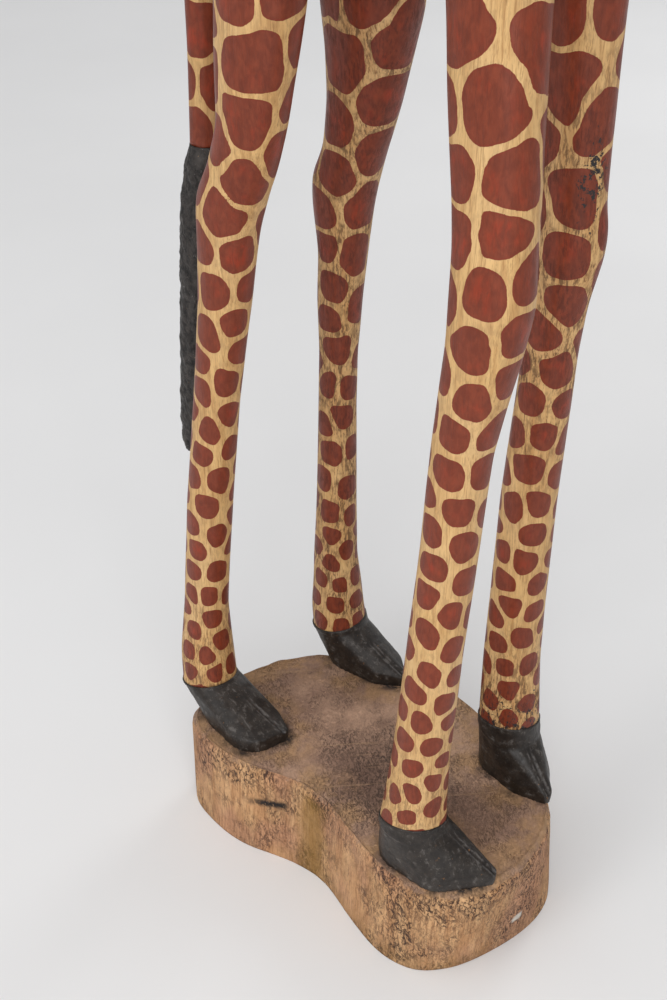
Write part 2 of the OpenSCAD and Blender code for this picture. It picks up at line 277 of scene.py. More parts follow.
def limb_skin(node, step, around, smooth, smooth_round=1.2, foot_ring=0.0):
    """Rings of points (row, column, xyz) over an upright limb's CAD skin, smoothed along and round it.
    Where foot_ring is given, the lowest rings follow the limb's sloping lower end, found that far out.
    Returns the rings, and the plane of the lower end as for foot_plane."""
    tree = tree_of(node)
    low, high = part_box(node)
    cad = coords(NODES[node].data)
    guess = cad[cad[:, 2] > high.z - MM][:, :2].mean(0)
    top, bottom = high.z - 0.02 * MM, low.z + 0.02 * MM
    clear = bottom + (12 * MM if foot_ring else 0)
    # the middle walks down from the top, and goes straight on where the end slopes
    heights = np.linspace(top, bottom, int((top - bottom) / step) + 1)
    walk = []
    for z in heights:
        guess = centre_at(tree, guess, z) if z >= clear else 2 * walk[-1] - walk[-2]
        walk.append(guess)
    walk = blur(np.array(walk)[::-1], 4.0, False)
    heights = heights[::-1]
    plane = np.array([bottom, 0, 0])
    if foot_ring:
        plane = foot_plane(tree, walk[0], low.z, foot_ring)
    angles = np.arange(around) * 2 * math.pi / around
    rings = np.zeros((len(heights), around, 3))
    for row, z in enumerate(heights):
        centre = walk[row]
        share = max(0.0, 1 - (z - bottom) / 0.06)
        for column, angle in enumerate(angles):
            way = (math.cos(angle), math.sin(angle))
            edge = bottom
            if foot_ring:
                far = foot_ring * 1.3
                edge = plane @ (1, walk[0][0] + way[0] * far, walk[0][1] + way[1] * far)
            height = max(z + share * (edge - bottom), edge) + 0.25 * MM * share
            out = radial_hit(tree, centre, height, angle)
            if out is None:
                out = np.linalg.norm(rings[row - 1, column, :2] - centre) if row else 0.01
            rings[row, column] = (centre[0] + way[0] * out, centre[1] + way[1] * out, height)
    rings = blur(rings, smooth * MM / step, False)
    swapped = blur(rings.transpose(1, 0, 2), smooth_round * around / 96, True)
    return swapped.transpose(1, 0, 2), plane


def longer(rings, lift):
    """The rings with one more on top, that far up, going on the same way."""
    way = rings[-1] - rings[-4]
    way = way / np.maximum(np.abs(way[:, 2:3]), 1e-6)
    return np.concatenate([rings, (rings[-1] + way * lift)[None]])


def outward(rings):
    """A unit step away from the middle of its ring for each point, and how far out the point is."""
    out = rings - rings.mean(1, keepdims=True)
    radius = np.linalg.norm(out, axis=2, keepdims=True)
    return out / np.maximum(radius, 1e-9), radius


def in_rings(values, rings):
    """Values in mm, one for each point, laid out like the rings and turned into metres."""
    return values.reshape(rings.shape[:2])[..., None] * MM


def closed_rings(name, rings, bare_ends=True, cap_rings=6):
    """A closed object from rings of points, lowest first, with ringed caps. Bare ends take material 1."""
    rows, around = rings.shape[:2]
    middle_low, middle_top = rings[0].mean(0), rings[-1].mean(0)
    shares = [1 - k / cap_rings for k in range(1, cap_rings)]
    up = [middle_top + (rings[-1] - middle_top) * share for share in shares]
    down = [middle_low + (rings[0] - middle_low) * share for share in shares]
    layers = down[::-1] + list(rings) + up
    verts = np.concatenate(layers + [middle_low[None], middle_top[None]])
    faces = ring_faces(len(layers), around)
    faces += end_fans(around, len(verts) - 2, len(verts) - 1, (len(layers) - 1) * around)
    obj = add_object(name, verts, faces)
    if bare_ends:
        first = (cap_rings - 1) * around
        bare = np.ones(len(faces), np.int32)
        bare[first : first + (rows - 1) * around] = 0
        obj.data.polygons.foreach_set("material_index", bare)
    return obj


def neighbours(mesh):
    edges = np.empty(len(mesh.edges) * 2, np.int64)
    mesh.edges.foreach_get("vertices", edges)
    edges = edges.reshape(-1, 2)
    one = np.concatenate([edges[:, 0], edges[:, 1]])
    two = np.concatenate([edges[:, 1], edges[:, 0]])
    return one, two, np.maximum(np.bincount(one, minlength=len(mesh.vertices)), 1)


def relax(mesh, passes, push, pull, weight=None):
    """Smooths a mesh without shrinking it: each pass evens the surface out and swells it back."""
    one, two, count = neighbours(mesh)
    co = coords(mesh)
    n = len(co)
    for _ in range(passes):
        for share in (push, pull):
            mean = np.stack([np.bincount(one, co[two, k], n) / count for k in range(3)], 1)
            move = share * (mean - co)
            co = co + (move if weight is None else move * weight[:, None])
    set_coords(mesh, co)


def voxel_skin(name, nodes, voxel, extra=()):
    """One closed dense mesh round the CAD nodes and the extra objects, which it uses up."""
    obj = add_object(name, *joined([NODES[n] for n in nodes] + list(extra)))
    remesh = obj.modifiers.new("remesh", "REMESH")
    remesh.mode = "VOXEL"
    remesh.voxel_size = voxel
    apply_modifiers(obj)
    for other in extra:
        bpy.data.objects.remove(other)
    return obj


def rod(name, start, end, radius, sides=48):
    """A closed round bar between two points."""
    start, end = Vector(start), Vector(end)
    way = (end - start).normalized()
    side = way.orthogonal().normalized()
    other = way.cross(side)
    verts = []
    for point in (start, end):
        for k in range(sides):
            a = 2 * math.pi * k / sides
            verts.append(point + radius * (math.cos(a) * side + math.sin(a) * other))
    ends = [tuple(range(sides))[::-1], tuple(range(sides, 2 * sides))]
    return add_object(name, verts, ring_faces(2, sides) + ends)


def drill(obj, coat, rods, gap=0.1 * MM, end_gap=1 * MM):
    """Gives obj its coat, and cuts the hole of each dowel node out of it, down to the bare wood."""
    obj.data.materials.append(MATERIALS[coat])
    obj.data.materials.append(MATERIALS["dowel"])
    bars = []
    for node in rods:
        _, _, size, axis, middle = bar_box(node)
        reach = Vector([size[axis] / 2 + end_gap if k == axis else 0 for k in range(3)])
        bars.append(rod("cut", middle - reach, middle + reach, min(size) / 2 + gap, 64))
    cutter = add_object("cutter", *joined(bars))
    for bar in bars:
        bpy.data.objects.remove(bar)
    cutter.data.materials.append(MATERIALS["dowel"])
    boolean = obj.modifiers.new("drill", "BOOLEAN")
    boolean.operation = "DIFFERENCE"
    boolean.solver = "EXACT"
    boolean.material_mode = "TRANSFER"
    boolean.object = cutter
    apply_modifiers(obj)
    bpy.data.objects.remove(cutter)


def finish_piece(obj, body, nodes):
    """Shades a new piece smooth, gives it its body, and hides the CAD nodes that it stands for."""
    obj.data.shade_smooth()
    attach(obj, body)
    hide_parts(*nodes)


# ------------------------------------------------------------------ materials
class Paint:
    """A short way to write a node material."""

    def __init__(self, name):
        self.material = bpy.data.materials.new(name)
        self.material.use_nodes = True
        self.tree = self.material.node_tree
        self.tree.nodes.clear()
        self.shader = self.tree.nodes.new("ShaderNodeBsdfPrincipled")
        out = self.tree.nodes.new("ShaderNodeOutputMaterial")
        self.tree.links.new(self.shader.outputs[0], out.inputs[0])
        self.place = self.tree.nodes.new("ShaderNodeTexCoord").outputs["Object"]

    def put(self, socket, value):
        if isinstance(value, bpy.types.NodeSocket):
            self.tree.links.new(value, socket)
        else:
            socket.default_value = value

    def math(self, operation, a, b=0.0, c=0.0):
        node = self.tree.nodes.new("ShaderNodeMath")
        node.operation = operation
        for socket, value in zip(node.inputs, (a, b, c)):
            self.put(socket, value)
        return node.outputs[0]

    def value(self, name):
        node = self.tree.nodes.new("ShaderNodeAttribute")
        node.attribute_name = name
        return node.outputs["Fac"]

    def stretch(self, x, y, z, vector=None, shift=None):
        """Object coordinates scaled along each axis, and moved by a value where one is given."""
        node = self.tree.nodes.new("ShaderNodeVectorMath")
        node.operation = "MULTIPLY"
        self.put(node.inputs[0], vector or self.place)
        node.inputs[1].default_value = (x, y, z)
        if shift is None:
            return node.outputs[0]
        more = self.tree.nodes.new("ShaderNodeVectorMath")
        more.operation = "ADD"
        self.put(more.inputs[0], node.outputs[0])
        self.put(more.inputs[1], shift)
        return more.outputs[0]

    def turn(self, x, y, z):
        """Object coordinates turned by angles in degrees."""
        node = self.tree.nodes.new("ShaderNodeMapping")
        self.put(node.inputs["Vector"], self.place)
        node.inputs["Rotation"].default_value = [math.radians(a) for a in (x, y, z)]
        return node.outputs[0]

    def times(self, *values):
        """The product of all the values."""
        product = values[0]
        for value in values[1:]:
            product = self.math("MULTIPLY", product, value)
        return product

    def plus(self, a, b):
        return self.math("ADD", a, b)

    def scaled(self, value, factor, more):
        return self.math("MULTIPLY_ADD", value, factor, more)

    def least(self, a, b):
        return self.math("MINIMUM", a, b)

    def noise(self, vector, scale, detail=2.0, rough=0.5, twist=0.0):
        node = self.tree.nodes.new("ShaderNodeTexNoise")
        self.put(node.inputs["Vector"], vector)
        node.inputs["Scale"].default_value = scale
        node.inputs["Detail"].default_value = detail
        node.inputs["Roughness"].default_value = rough
        node.inputs["Distortion"].default_value = twist
        return node.outputs["Fac"]

    def step(self, value, low, high, to_low=0.0, to_high=1.0):
        node = self.tree.nodes.new("ShaderNodeMapRange")
        node.interpolation_type = "SMOOTHSTEP"
        for socket, v in zip(node.inputs[:5], (value, low, high, to_low, to_high)):
            self.put(socket, v)
        return node.outputs[0]

    def mix(self, share, a, b, blend="MIX"):
        node = self.tree.nodes.new("ShaderNodeMix")
        node.data_type = "RGBA"
        node.blend_type = blend
        self.put(node.inputs[0], share)
        self.put(node.inputs[6], a)
        self.put(node.inputs[7], b)
        return node.outputs[2]

    def coat(self, under, colour, share, strength=None):
        """A colour, written as 0 to 255 display values, laid over another one."""
        if strength is not None:
            share = self.math("MULTIPLY", share, strength)
        return self.mix(share, under, srgb(*colour))

    def bump(self, height, distance, strength):
        node = self.tree.nodes.new("ShaderNodeBump")
        node.inputs["Strength"].default_value = strength
        node.inputs["Distance"].default_value = distance
        self.put(node.inputs["Height"], height)
        return node.outputs[0]

    def finish(self, colour, roughness, normal=None, **fixed):
        self.put(self.shader.inputs["Base Color"], colour)
        self.put(self.shader.inputs["Roughness"], roughness)
        if normal is not None:
            self.put(self.shader.inputs["Normal"], normal)
        for name, v in fixed.items():
            self.shader.inputs[name.replace("_", " ")].default_value = v
        return self.material


def srgb(r, g, b):
    """A colour written as 0 to 255 display values."""
    out = []
    for v in (r, g, b):
        v /= 255
        out.append(v / 12.92 if v <= 0.04045 else ((v + 0.055) / 1.055) ** 2.4)
    return (*out, 1.0)


def painted_wood(name):
    """Pale varnished wood with maroon patches inside the 'spot' distance and black below the 'dip' one."""
    p = Paint(name)
    # bare wood: soft bands, long fine pores, and short brown dashes along the grain
    band = p.noise(p.stretch(1, 1, 0.07), 380, 3)
    wood = p.mix(p.step(band, 0.35, 0.68), srgb(217, 177, 119), srgb(194, 151, 97))
    broad = p.noise(p.stretch(1, 1, 0.4), 38, 3)
    wood = p.mix(p.step(broad, 0.4, 0.7, 0.0, 0.6), wood, srgb(224, 188, 136))
    pore = p.step(p.noise(p.stretch(1, 1, 0.03), 1500, 2, 0.6), 0.56, 0.66)
    wood = p.coat(wood, (150, 106, 60), pore, 0.5)
    grime_and_shade = p.value("grime_and_shade")
    dash = p.step(p.noise(p.stretch(1, 1, 0.13), 900, 3, 0.65), 0.57, 0.66)
    wood = p.mix(p.times(dash, p.step(grime_and_shade, 0.1, 0.7, 0.2, 0.85)), wood, srgb(122, 82, 46))
    # grime and painted shade: a brown tint and specks, thicker where the value is high; the hind left
    # leg's raised value is painted shade
    speck = p.noise(p.stretch(1, 1, 0.25), 640, 4, 0.68)
    cloud = p.noise(p.place, 85, 3, 0.6)
    amount = p.times(p.step(cloud, 0.3, 0.6), grime_and_shade)
    shade = p.times(p.step(speck, 0.46, 0.56), amount)
    wood = p.coat(wood, (176, 124, 76), amount, 0.5)
    wood = p.coat(wood, (74, 48, 32), shade)

    # painted patches, with a ragged brushed edge
    distance = p.value("spot")
    ragged = p.noise(p.stretch(1, 1, 0.8), 650, 3, 0.6)
    edge = p.plus(distance, p.scaled(ragged, 0.5, -0.25))
    mask = p.step(edge, -0.08, 0.12)
    tone = p.value("tone")
    shift = p.times(tone, 3.0)
    brush = p.noise(p.stretch(1, 1, 0.5, shift=shift), 300, 4, 0.6, 0.6)
    wash = p.noise(p.stretch(1, 1, 0.7, shift=shift), 85, 2, 0.5)
    paint = p.mix(p.step(brush, 0.3, 0.72), srgb(111, 47, 27), srgb(131, 59, 36))
    red = p.times(p.step(distance, 0.8, 4.5), p.step(wash, 0.44, 0.66), p.step(tone, 0.0, 1.0, 0.35, 1.0))
    streak = p.step(p.noise(p.stretch(1, 1, 0.3, shift=shift), 330, 4, 0.6, 0.5), 0.36, 0.62)
    paint = p.mix(p.times(p.times(red, streak), 0.68), paint, srgb(158, 55, 27))
    rim = p.times(p.step(edge, 1.1, 0.1), 0.5)
    paint = p.coat(paint, (126, 42, 24), rim)
    paint = p.coat(paint, (60, 22, 14), pore, 0.12)
    # the specks, with the hind left leg's painted shade, darken the patches too
    paint = p.coat(paint, (58, 32, 25), shade, 0.6)
    colour = p.mix(mask, wood, paint)

    # black specks that came off the hooves' paint
    tar = p.scaled(p.value("fleck"), 0.15, p.noise(p.stretch(1, 1, 0.8), 420, 4, 0.7))
    flecks = p.times(p.step(tar, 0.66, 0.7), p.step(p.value("fleck"), 0.02, 0.2))
    colour = p.coat(colour, (44, 40, 40), flecks)

    # black paint of the hoof or the mane, climbing a little over the wood
    dip = p.plus(p.value("dip"), p.scaled(p.noise(p.place, 260, 3), 1.6, -0.8))
    black_mask = p.step(dip, 0.15, -0.15)
    black, black_rough, black_height = black_coat(p)
    colour = p.mix(black_mask, colour, black)

    sheen = p.noise(p.stretch(1, 1, 0.3), 240, 3)
    rough = p.step(sheen, 0.3, 0.7, 0.34, 0.46)
    rough = p.plus(rough, p.times(p.math("SUBTRACT", 1.0, mask), 0.1))
    rough = p.plus(rough, p.times(shade, 0.2))
    rough = p.times(rough, p.math("SUBTRACT", 1.0, black_mask))
    rough = p.plus(rough, p.times(black_rough, black_mask))
    grain = p.scaled(pore, -0.8, p.times(band, 0.5))
    layer = p.scaled(mask, 0.6, p.times(brush, 0.5))
    height = p.plus(grain, layer)
    height = p.scaled(flecks, 1.5, height)
    height = p.scaled(p.times(black_mask, black_height), 1.5, height)
    return p.finish(colour, rough, p.bump(height, 0.12 * MM, 0.55), Specular_IOR_Level=0.3)


def black_coat(p):
    """Charcoal paint with dry-brushed grey; returns colour, roughness and height."""
    strokes = p.noise(p.stretch(1, 0.3, 0.5), 480, 4, 0.62, 0.5)
    cloud = p.noise(p.place, 170, 4, 0.65)
    base = p.mix(p.step(cloud, 0.35, 0.7), srgb(30, 24, 20), srgb(49, 42, 36))
    dry = p.times(p.step(strokes, 0.5, 0.66), p.step(cloud, 0.46, 0.6))
    black = p.coat(base, (112, 107, 103), dry, 0.5)
    dust = p.step(p.noise(p.place, 1100, 2, 0.6), 0.66, 0.72)
    black = p.coat(black, (140, 134, 128), dust, 0.3)
    rough = p.step(strokes, 0.3, 0.7, 0.36, 0.56)
    return black, rough, p.plus(strokes, p.times(cloud, 0.8))


def black_paint(name):
    p = Paint(name)
    colour, rough, height = black_coat(p)
    # grey painted highlight along the two edges of the cleft, and bare wood showing at a few chips
    ridge = p.value("ridge")
    worn = p.times(p.step(ridge, 0.2, 0.9), p.step(p.noise(p.place, 420, 3), 0.38, 0.6))
    colour = p.coat(colour, (112, 107, 104), worn, 0.5)
    chip = p.times(p.step(p.noise(p.place, 240, 4, 0.7), 0.66, 0.69), p.step(ridge, 0.0, 0.4, 0.4, 1.0))
    colour = p.coat(colour, (146, 98, 48), chip)
    fine = p.noise(p.place, 1400, 2)
    height = p.scaled(fine, 0.3, height)
    return p.finish(colour, rough, p.bump(height, 0.25 * MM, 0.6), Specular_IOR_Level=0.4)


def tuft_black(name):
    """Thick black paint laid over rough chopped wood, like coal, with pale lint."""
    p = Paint(name)
    lump = p.noise(p.stretch(1, 1, 0.7), 330, 4, 0.68, 0.6)
    clump = p.noise(p.stretch(1, 1, 0.5), 110, 3, 0.6)
    colour = p.mix(p.step(lump, 0.34, 0.66), srgb(17, 14, 13), srgb(56, 50, 46))
    colour = p.mix(p.step(clump, 0.5, 0.72, 0.0, 0.6), colour, srgb(78, 72, 67))
    chip = p.step(p.noise(p.place, 420, 4, 0.7), 0.69, 0.72)
    colour = p.coat(colour, (168, 126, 82), chip, 0.7)
    lint = p.step(p.noise(p.stretch(1, 1, 0.3), 900, 2, 0.6, 2.0), 0.7, 0.74)
    colour = p.coat(colour, (176, 172, 172), lint, 0.6)
    rough = p.step(lump, 0.35, 0.65, 0.62, 0.4)
    height = p.plus(lump, p.times(clump, 0.8))
    return p.finish(colour, rough, p.bump(height, 1.2 * MM, 0.8), Specular_IOR_Level=0.4)


def slab_wood(name):
    """Sawn log: tan sides with upright grain and dark rasp marks, and a stained grey-brown top."""
    p = Paint(name)
    # sides: bands of tan, ochre and pink, with brown fibres
    band = p.noise(p.stretch(1, 1, 0.16), 130, 4, 0.6)
    side = p.mix(p.step(band, 0.3, 0.7), srgb(222, 177, 130), srgb(194, 145, 101))
    pink = p.noise(p.stretch(1, 1, 0.6), 30, 2)
    side = p.mix(p.step(pink, 0.42, 0.64, 0.0, 0.7), side, srgb(190, 140, 110))
    fibre = p.noise(p.stretch(1, 1, 0.1), 850, 4, 0.68)
    side = p.mix(p.step(fibre, 0.47, 0.66, 0.0, 0.6), side, srgb(134, 90, 58))
    # short dark marks of the rasp, upright and slanting, thick along the upper edge
    patchy = p.noise(p.place, 42, 4, 0.62)
    amount = p.least(p.plus(p.step(patchy, 0.44, 0.64, 0.12, 0.85), p.value("edge")), 1.0)
    upright = p.step(p.noise(p.stretch(1, 1, 0.4), 520, 5, 0.75, 1.0), 0.5, 0.58)
    slant = p.step(p.noise(p.stretch(1, 1, 0.3, p.turn(38, 30, 0)), 430, 5, 0.75, 0.8), 0.53, 0.6)
    mark = p.times(p.math("MAXIMUM", upright, slant), amount)
    side = p.coat(side, (62, 42, 38), mark, 0.92)
    moss = p.times(p.value("moss"), p.step(band, 0.3, 0.6, 0.5, 1.0))
    side = p.coat(side, (138, 104, 42), moss, 0.66)
    tick = p.step(p.noise(p.stretch(1, 1, 0.3, p.turn(0, 25, 0)), 520, 3), 0.28, 0.48)
    side = p.mix(p.times(p.value("streak"), tick), side, srgb(44, 38, 36))
    # top: tan wood under a plum-grey stain, with a felt of short dark marks and a few long scratches
    stain = p.noise(p.place, 24, 4, 0.6)
    top = p.mix(p.step(stain, 0.36, 0.62), srgb(193, 156, 130), srgb(162, 129, 109))
    deep = p.value("deep")
    top = p.coat(top, (110, 84, 72), deep, 0.6)
    worn = p.times(p.value("worn"), p.step(p.noise(p.place, 60, 4, 0.6), 0.36, 0.6))
    top = p.coat(top, (186, 146, 104), worn, 0.75)
    felt = p.noise(p.stretch(1, 0.5, 1, p.turn(0, 0, 35)), 500, 5, 0.8, 1.5)
    clouds = p.step(p.noise(p.place, 36, 4, 0.62), 0.4, 0.6, 0.15, 0.75)
    clouds = p.least(p.scaled(deep, 0.6, clouds), 1.0)
    dark = p.times(p.step(felt, 0.47, 0.57), clouds)
    top = p.coat(top, (60, 45, 40), dark, 0.74)
    scratch = p.step(p.noise(p.stretch(1, 0.03, 1, p.turn(0, 0, -52)), 420, 2), 0.66, 0.72)
    top = p.coat(top, (188, 152, 118), scratch, 0.4)
    ragged = p.scaled(p.noise(p.place, 110, 5, 0.68), 1.5, -0.75)
    both = p.mix(p.step(p.plus(p.value("top"), ragged), 0.3, 0.7), side, top)
    # painted shadow: dark blotches close round the hooves
    hoof_shadow_blots = p.times(p.value("hoof_shadow"), p.step(p.noise(p.place, 190, 4, 0.65), 0.34, 0.56, 0.2, 1.0))
    both = p.coat(both, (50, 44, 42), hoof_shadow_blots)
    both = p.mix(p.value("chip"), both, srgb(226, 218, 206))
    height = p.scaled(dark, -0.9, p.times(band, 0.8))
    height = p.scaled(mark, -0.9, height)
    height = p.scaled(fibre, -0.6, height)
    rough = p.step(stain, 0.3, 0.7, 0.62, 0.8)
    return p.finish(both, rough, p.bump(height, 0.5 * MM, 0.8), Specular_IOR_Level=0.25)


def dowel_wood(name):
    p = Paint(name)
    band = p.noise(p.stretch(1, 1, 0.08), 420, 4)
    colour = p.mix(p.step(band, 0.3, 0.7), srgb(216, 182, 132), srgb(184, 142, 94))
    pore = p.step(p.noise(p.stretch(1, 1, 0.05), 1600, 2), 0.58, 0.68)
    colour = p.coat(colour, (136, 98, 62), pore, 0.5)
    return p.finish(colour, 0.62, p.bump(p.math("SUBTRACT", band, pore), 0.1 * MM, 0.5))


def eye_gloss(name):
    p = Paint(name)
    mist = p.noise(p.place, 300, 3)
    colour = p.mix(p.step(mist, 0.3, 0.7), srgb(18, 13, 11), srgb(34, 22, 16))
    return p.finish(colour, p.step(mist, 0.3, 0.7, 0.08, 0.16), None, Coat_Weight=0.6, Coat_Roughness=0.05)


MATERIALS = {
    "painted": painted_wood("painted_wood"),
    "black": black_paint("black_paint"),
    "tuft": tuft_black("tuft_black"),
    "slab": slab_wood("slab_wood"),
    "dowel": dowel_wood("dowel_wood"),
    "eye": eye_gloss("eye_gloss"),
}


# ------------------------------------------------------------------ painted patches
SPACING_AT = (0, 40, 100, 200, 260, 300, 350, 400, 460, 520, 650, 800, 950, 1200, 1580, 1640, 1850)
SPACING = (15.5, 16, 17, 19, 20.5, 22, 26, 29, 34, 38, 44, 50, 44, 36, 30, 22, 20)
TURN_LENGTH = 7.5
SQUARISH = 2.8
NARROWEST_BAND = 2.4
# Values, in mm, that stand for wood outside every patch and for a place far from anything
BARE = -3.0
FAR = 99.0


def spacing(points):
    """Distance between patch middles, in mm, by height above the slab."""
    return np.interp((points[:, 2] - SLAB_TOP) / MM, SPACING_AT, SPACING)


def six(points, nor):
    """Places for measuring along a rounded surface: position in mm and the scaled normal."""
    return np.concatenate([points / MM, nor * TURN_LENGTH], 1).astype(np.float32)


def scatter(points, nor, seed, rounds=5):
    """Middles of the patches: well-spread points over the surface, nudged apart by averaging."""
    rng = np.random.default_rng(seed)
    place = six(points, nor)
    wanted = spacing(points)
    order = rng.permutation(len(points))
    chosen = np.empty((0, 6), np.float32)
    sizes = np.empty(0)
    for i in order:
        if len(chosen):
            d = np.linalg.norm(chosen - place[i], axis=1)
            if (d < 0.84 * (sizes + wanted[i]) / 2).any():
                continue
        chosen = np.vstack([chosen, place[i]])
        sizes = np.append(sizes, wanted[i])
    for _ in range(rounds):
        near = nearest(place, chosen)[0]
        weight = wanted**-3
        total = np.bincount(near, weight, len(chosen))
        mean = np.stack([np.bincount(near, place[:, k] * weight, len(chosen)) for k in range(6)], 1)
        mean /= np.maximum(total, 1e-9)[:, None]
        chosen = place[nearest(mean.astype(np.float32), place)[0]]
    jitter = rng.normal(0, 0.045, (len(chosen), 3)) * np.interp(
        chosen[:, 2] - SLAB_TOP / MM, SPACING_AT, SPACING)[:, None]
    chosen[:, :3] += jitter
    return chosen


def nearest(places, targets, chunk=4000):
    """Index of the nearest target to each place, and its distance."""
    index = np.empty(len(places), np.int64)
    away = np.empty(len(places), np.float32)
    square = (targets**2).sum(1)
    for k in range(0, len(places), chunk):
        part = places[k : k + chunk]
        d = square[None] - 2 * part @ targets.T
        index[k : k + chunk] = d.argmin(1)
        away[k : k + chunk] = d.min(1) + (part**2).sum(1)
    return index, np.sqrt(np.maximum(away, 0))


def patch_field(points, nor, seeds, chunk=4000):
    """Signed distance in mm into the patch at each point, the number of its patch, and the distance
    to the middle of the band beside it.
    A patch is a cell between its neighbours with rounded corners, and near the hooves an oval in it."""
    place = six(points, nor)
    between = np.sqrt(np.maximum(((seeds[:, None] - seeds[None]) ** 2).sum(2), 1e-6))
    np.fill_diagonal(between, 1e9)
    wide = spacing(points)
    inside = np.empty(len(points))
    number = np.empty(len(points), np.int64)
    band = np.empty(len(points))
    for k in range(0, len(points), chunk):
        part = place[k : k + chunk]
        size = wide[k : k + chunk]
        d2 = (part**2).sum(1)[:, None] + (seeds**2).sum(1)[None] - 2 * part @ seeds.T
        # a metric that lies between round and square, so that the cells come out squarish
        climb = np.abs(part[:, 2:3] - seeds[None, :, 2])
        d2 = (climb**SQUARISH + np.maximum(d2 - climb**2, 0) ** (SQUARISH / 2)) ** (2 / SQUARISH)
        near = d2.argmin(1)
        rows = np.arange(len(part))
        least = d2[rows, near]
        wall = (d2 - least[:, None]) / (2 * between[near])
        wall[rows, near] = 1e6
        soft = (size * np.interp(size, (15, 26, 50), (0.1, 0.08, 0.05)))[:, None]
        cell = -soft[:, 0] * np.log(np.exp(-np.minimum(wall / soft, 80)).sum(1) + 1e-30)
        oval = size * np.interp(size, (15, 17, 20, 26, 34), (0.47, 0.51, 0.58, 0.7, 0.8))
        oval = oval - np.sqrt(np.maximum(least, 0))
        gap = np.interp(size, (15, 20, 26, 34, 60), (1.0, 1.0, 1.0, 1.1, 1.8))
        flat = 0.06 * size
        body = -flat * np.log(np.exp(-(cell - gap) / flat) + np.exp(-np.minimum(oval / flat, 60)))
        inside[k : k + chunk] = body
        number[k : k + chunk] = near
        band[k : k + chunk] = cell
    return inside, number, band


def paint_patches(obj, seeds, grime_and_shade=0.0):
    """Writes the patch values onto a piece's vertices."""
    co, no = surface(obj)
    wide = spacing(co)
    # bands between patches wander, so that neighbouring edges run side by side
    coarse = np.stack([noise(co, 19, 25 + k, 2) for k in range(3)], 1)
    fine = np.stack([noise(co, 9, 28 + k, 2) for k in range(3)], 1)
    warp = coarse * (4.5 * ramp(wide, 17, 32))[:, None] + fine * 1.3
    inside, number, band = patch_field(co + warp * MM, no, seeds)
    # lobes left by the brush, and small notches where two lobes meet
    wobble = 1.35 * noise(co, 11, 21, 2) + 0.35 * noise(co, 4, 22)
    wobble = wobble * np.interp(wide, (15, 40), (0.6, 1.3))
    wobble -= 0.5 * ramp(-np.abs(noise(co, 26, 23)), -0.13, 0) * ramp(wide, 18, 27)
    set_value(obj, "spot", np.minimum(inside + wobble, band - NARROWEST_BAND / 2))
    tones = np.random.default_rng(5).random(len(seeds))
    set_value(obj, "tone", tones[number])
    set_value(obj, "grime_and_shade", np.full(len(co), grime_and_shade))
    set_value(obj, "fleck", np.zeros(len(co)))
    set_value(obj, "dip", np.full(len(co), FAR))


def brighten(obj, name, values):
    """Raises a value that is already on a piece's vertices."""
    set_value(obj, name, np.maximum(value_of(obj, name), values.astype(np.float32)))


def bare_seam(obj, height, facing):
    """Leaves the flat face of the neck's joint, at that height, without paint."""
    co, no = surface(obj)
    face = (np.abs(co[:, 2] - height) < 0.3 * MM) & (no[:, 2] * facing > 0.8)
    for name, value in (("spot", BARE), ("dip", FAR)):
        set_value(obj, name, np.where(face, value, value_of(obj, name)))


# ------------------------------------------------------------------ legs and hooves
LEG_STEP = 1.6 * MM
# Where the black paint ends on each leg, in mm above the slab: height, rise to the front, rise to +X
PAINT_LINES = {
    "front_right": (33.0, 4.0, -3.0),
    "front_left": (42.0, 2.5, -2.0),
    "hind_right": (20.5, 2.0, 1.0),
    "hind_left": (31.0, 3.5, 2.5),
}
GRIME = {"front_right": 0.45, "front_left": 1.0, "hind_right": 0.6, "hind_left": 0.6}
LEG_RADIUS = 16
COLLAR_PROUD = 0.7 * MM
COLLAR_INSIDE = 1.3 * MM


def paint_gap(side, points):
    """How far each point is above the line where the black paint ends, in mm."""
    height, front, left = PAINT_LINES[side]
    middle = middle_of("foot_dowel_" + side)
    x, y = (points[..., 0] - middle[0]) / MM, (points[..., 1] - middle[1]) / MM
    line = height + (left * x - front * y) / LEG_RADIUS
    return (points[..., 2] - SLAB_TOP) / MM - line


def make_legs():
    """The four legs. Each goes into its hoof's collar with a slightly thinner end."""
    legs, shapes = {}, {}
    for number, side in enumerate(SIDES):
        rings, plane = limb_skin("leg_" + side, LEG_STEP, 84, smooth=4.5, foot_ring=13.5 * MM)
        flat = rings.reshape(-1, 3)
        out = outward(rings)[0]
        # hand carving: soft facets and a slightly uneven thickness
        uneven = 0.35 * noise(flat, (14, 14, 60), 31 + number)
        uneven += 0.12 * noise(flat, (5, 5, 24), 41 + number)
        rows = np.arange(len(rings))
        ends = ramp(rows, 0, 8) * ramp(len(rings) - 1 - rows, 0, 12)
        rings = rings + out * in_rings(uneven, rings) * ends[:, None, None]
        shapes[side] = (rings, plane)
        inset = COLLAR_INSIDE * ramp(-paint_gap(side, rings), 0.8, 2.2)
        legs[side] = closed_rings("carved_leg_" + side, longer(rings - out * inset[..., None], 2.5 * MM))
    return legs, shapes


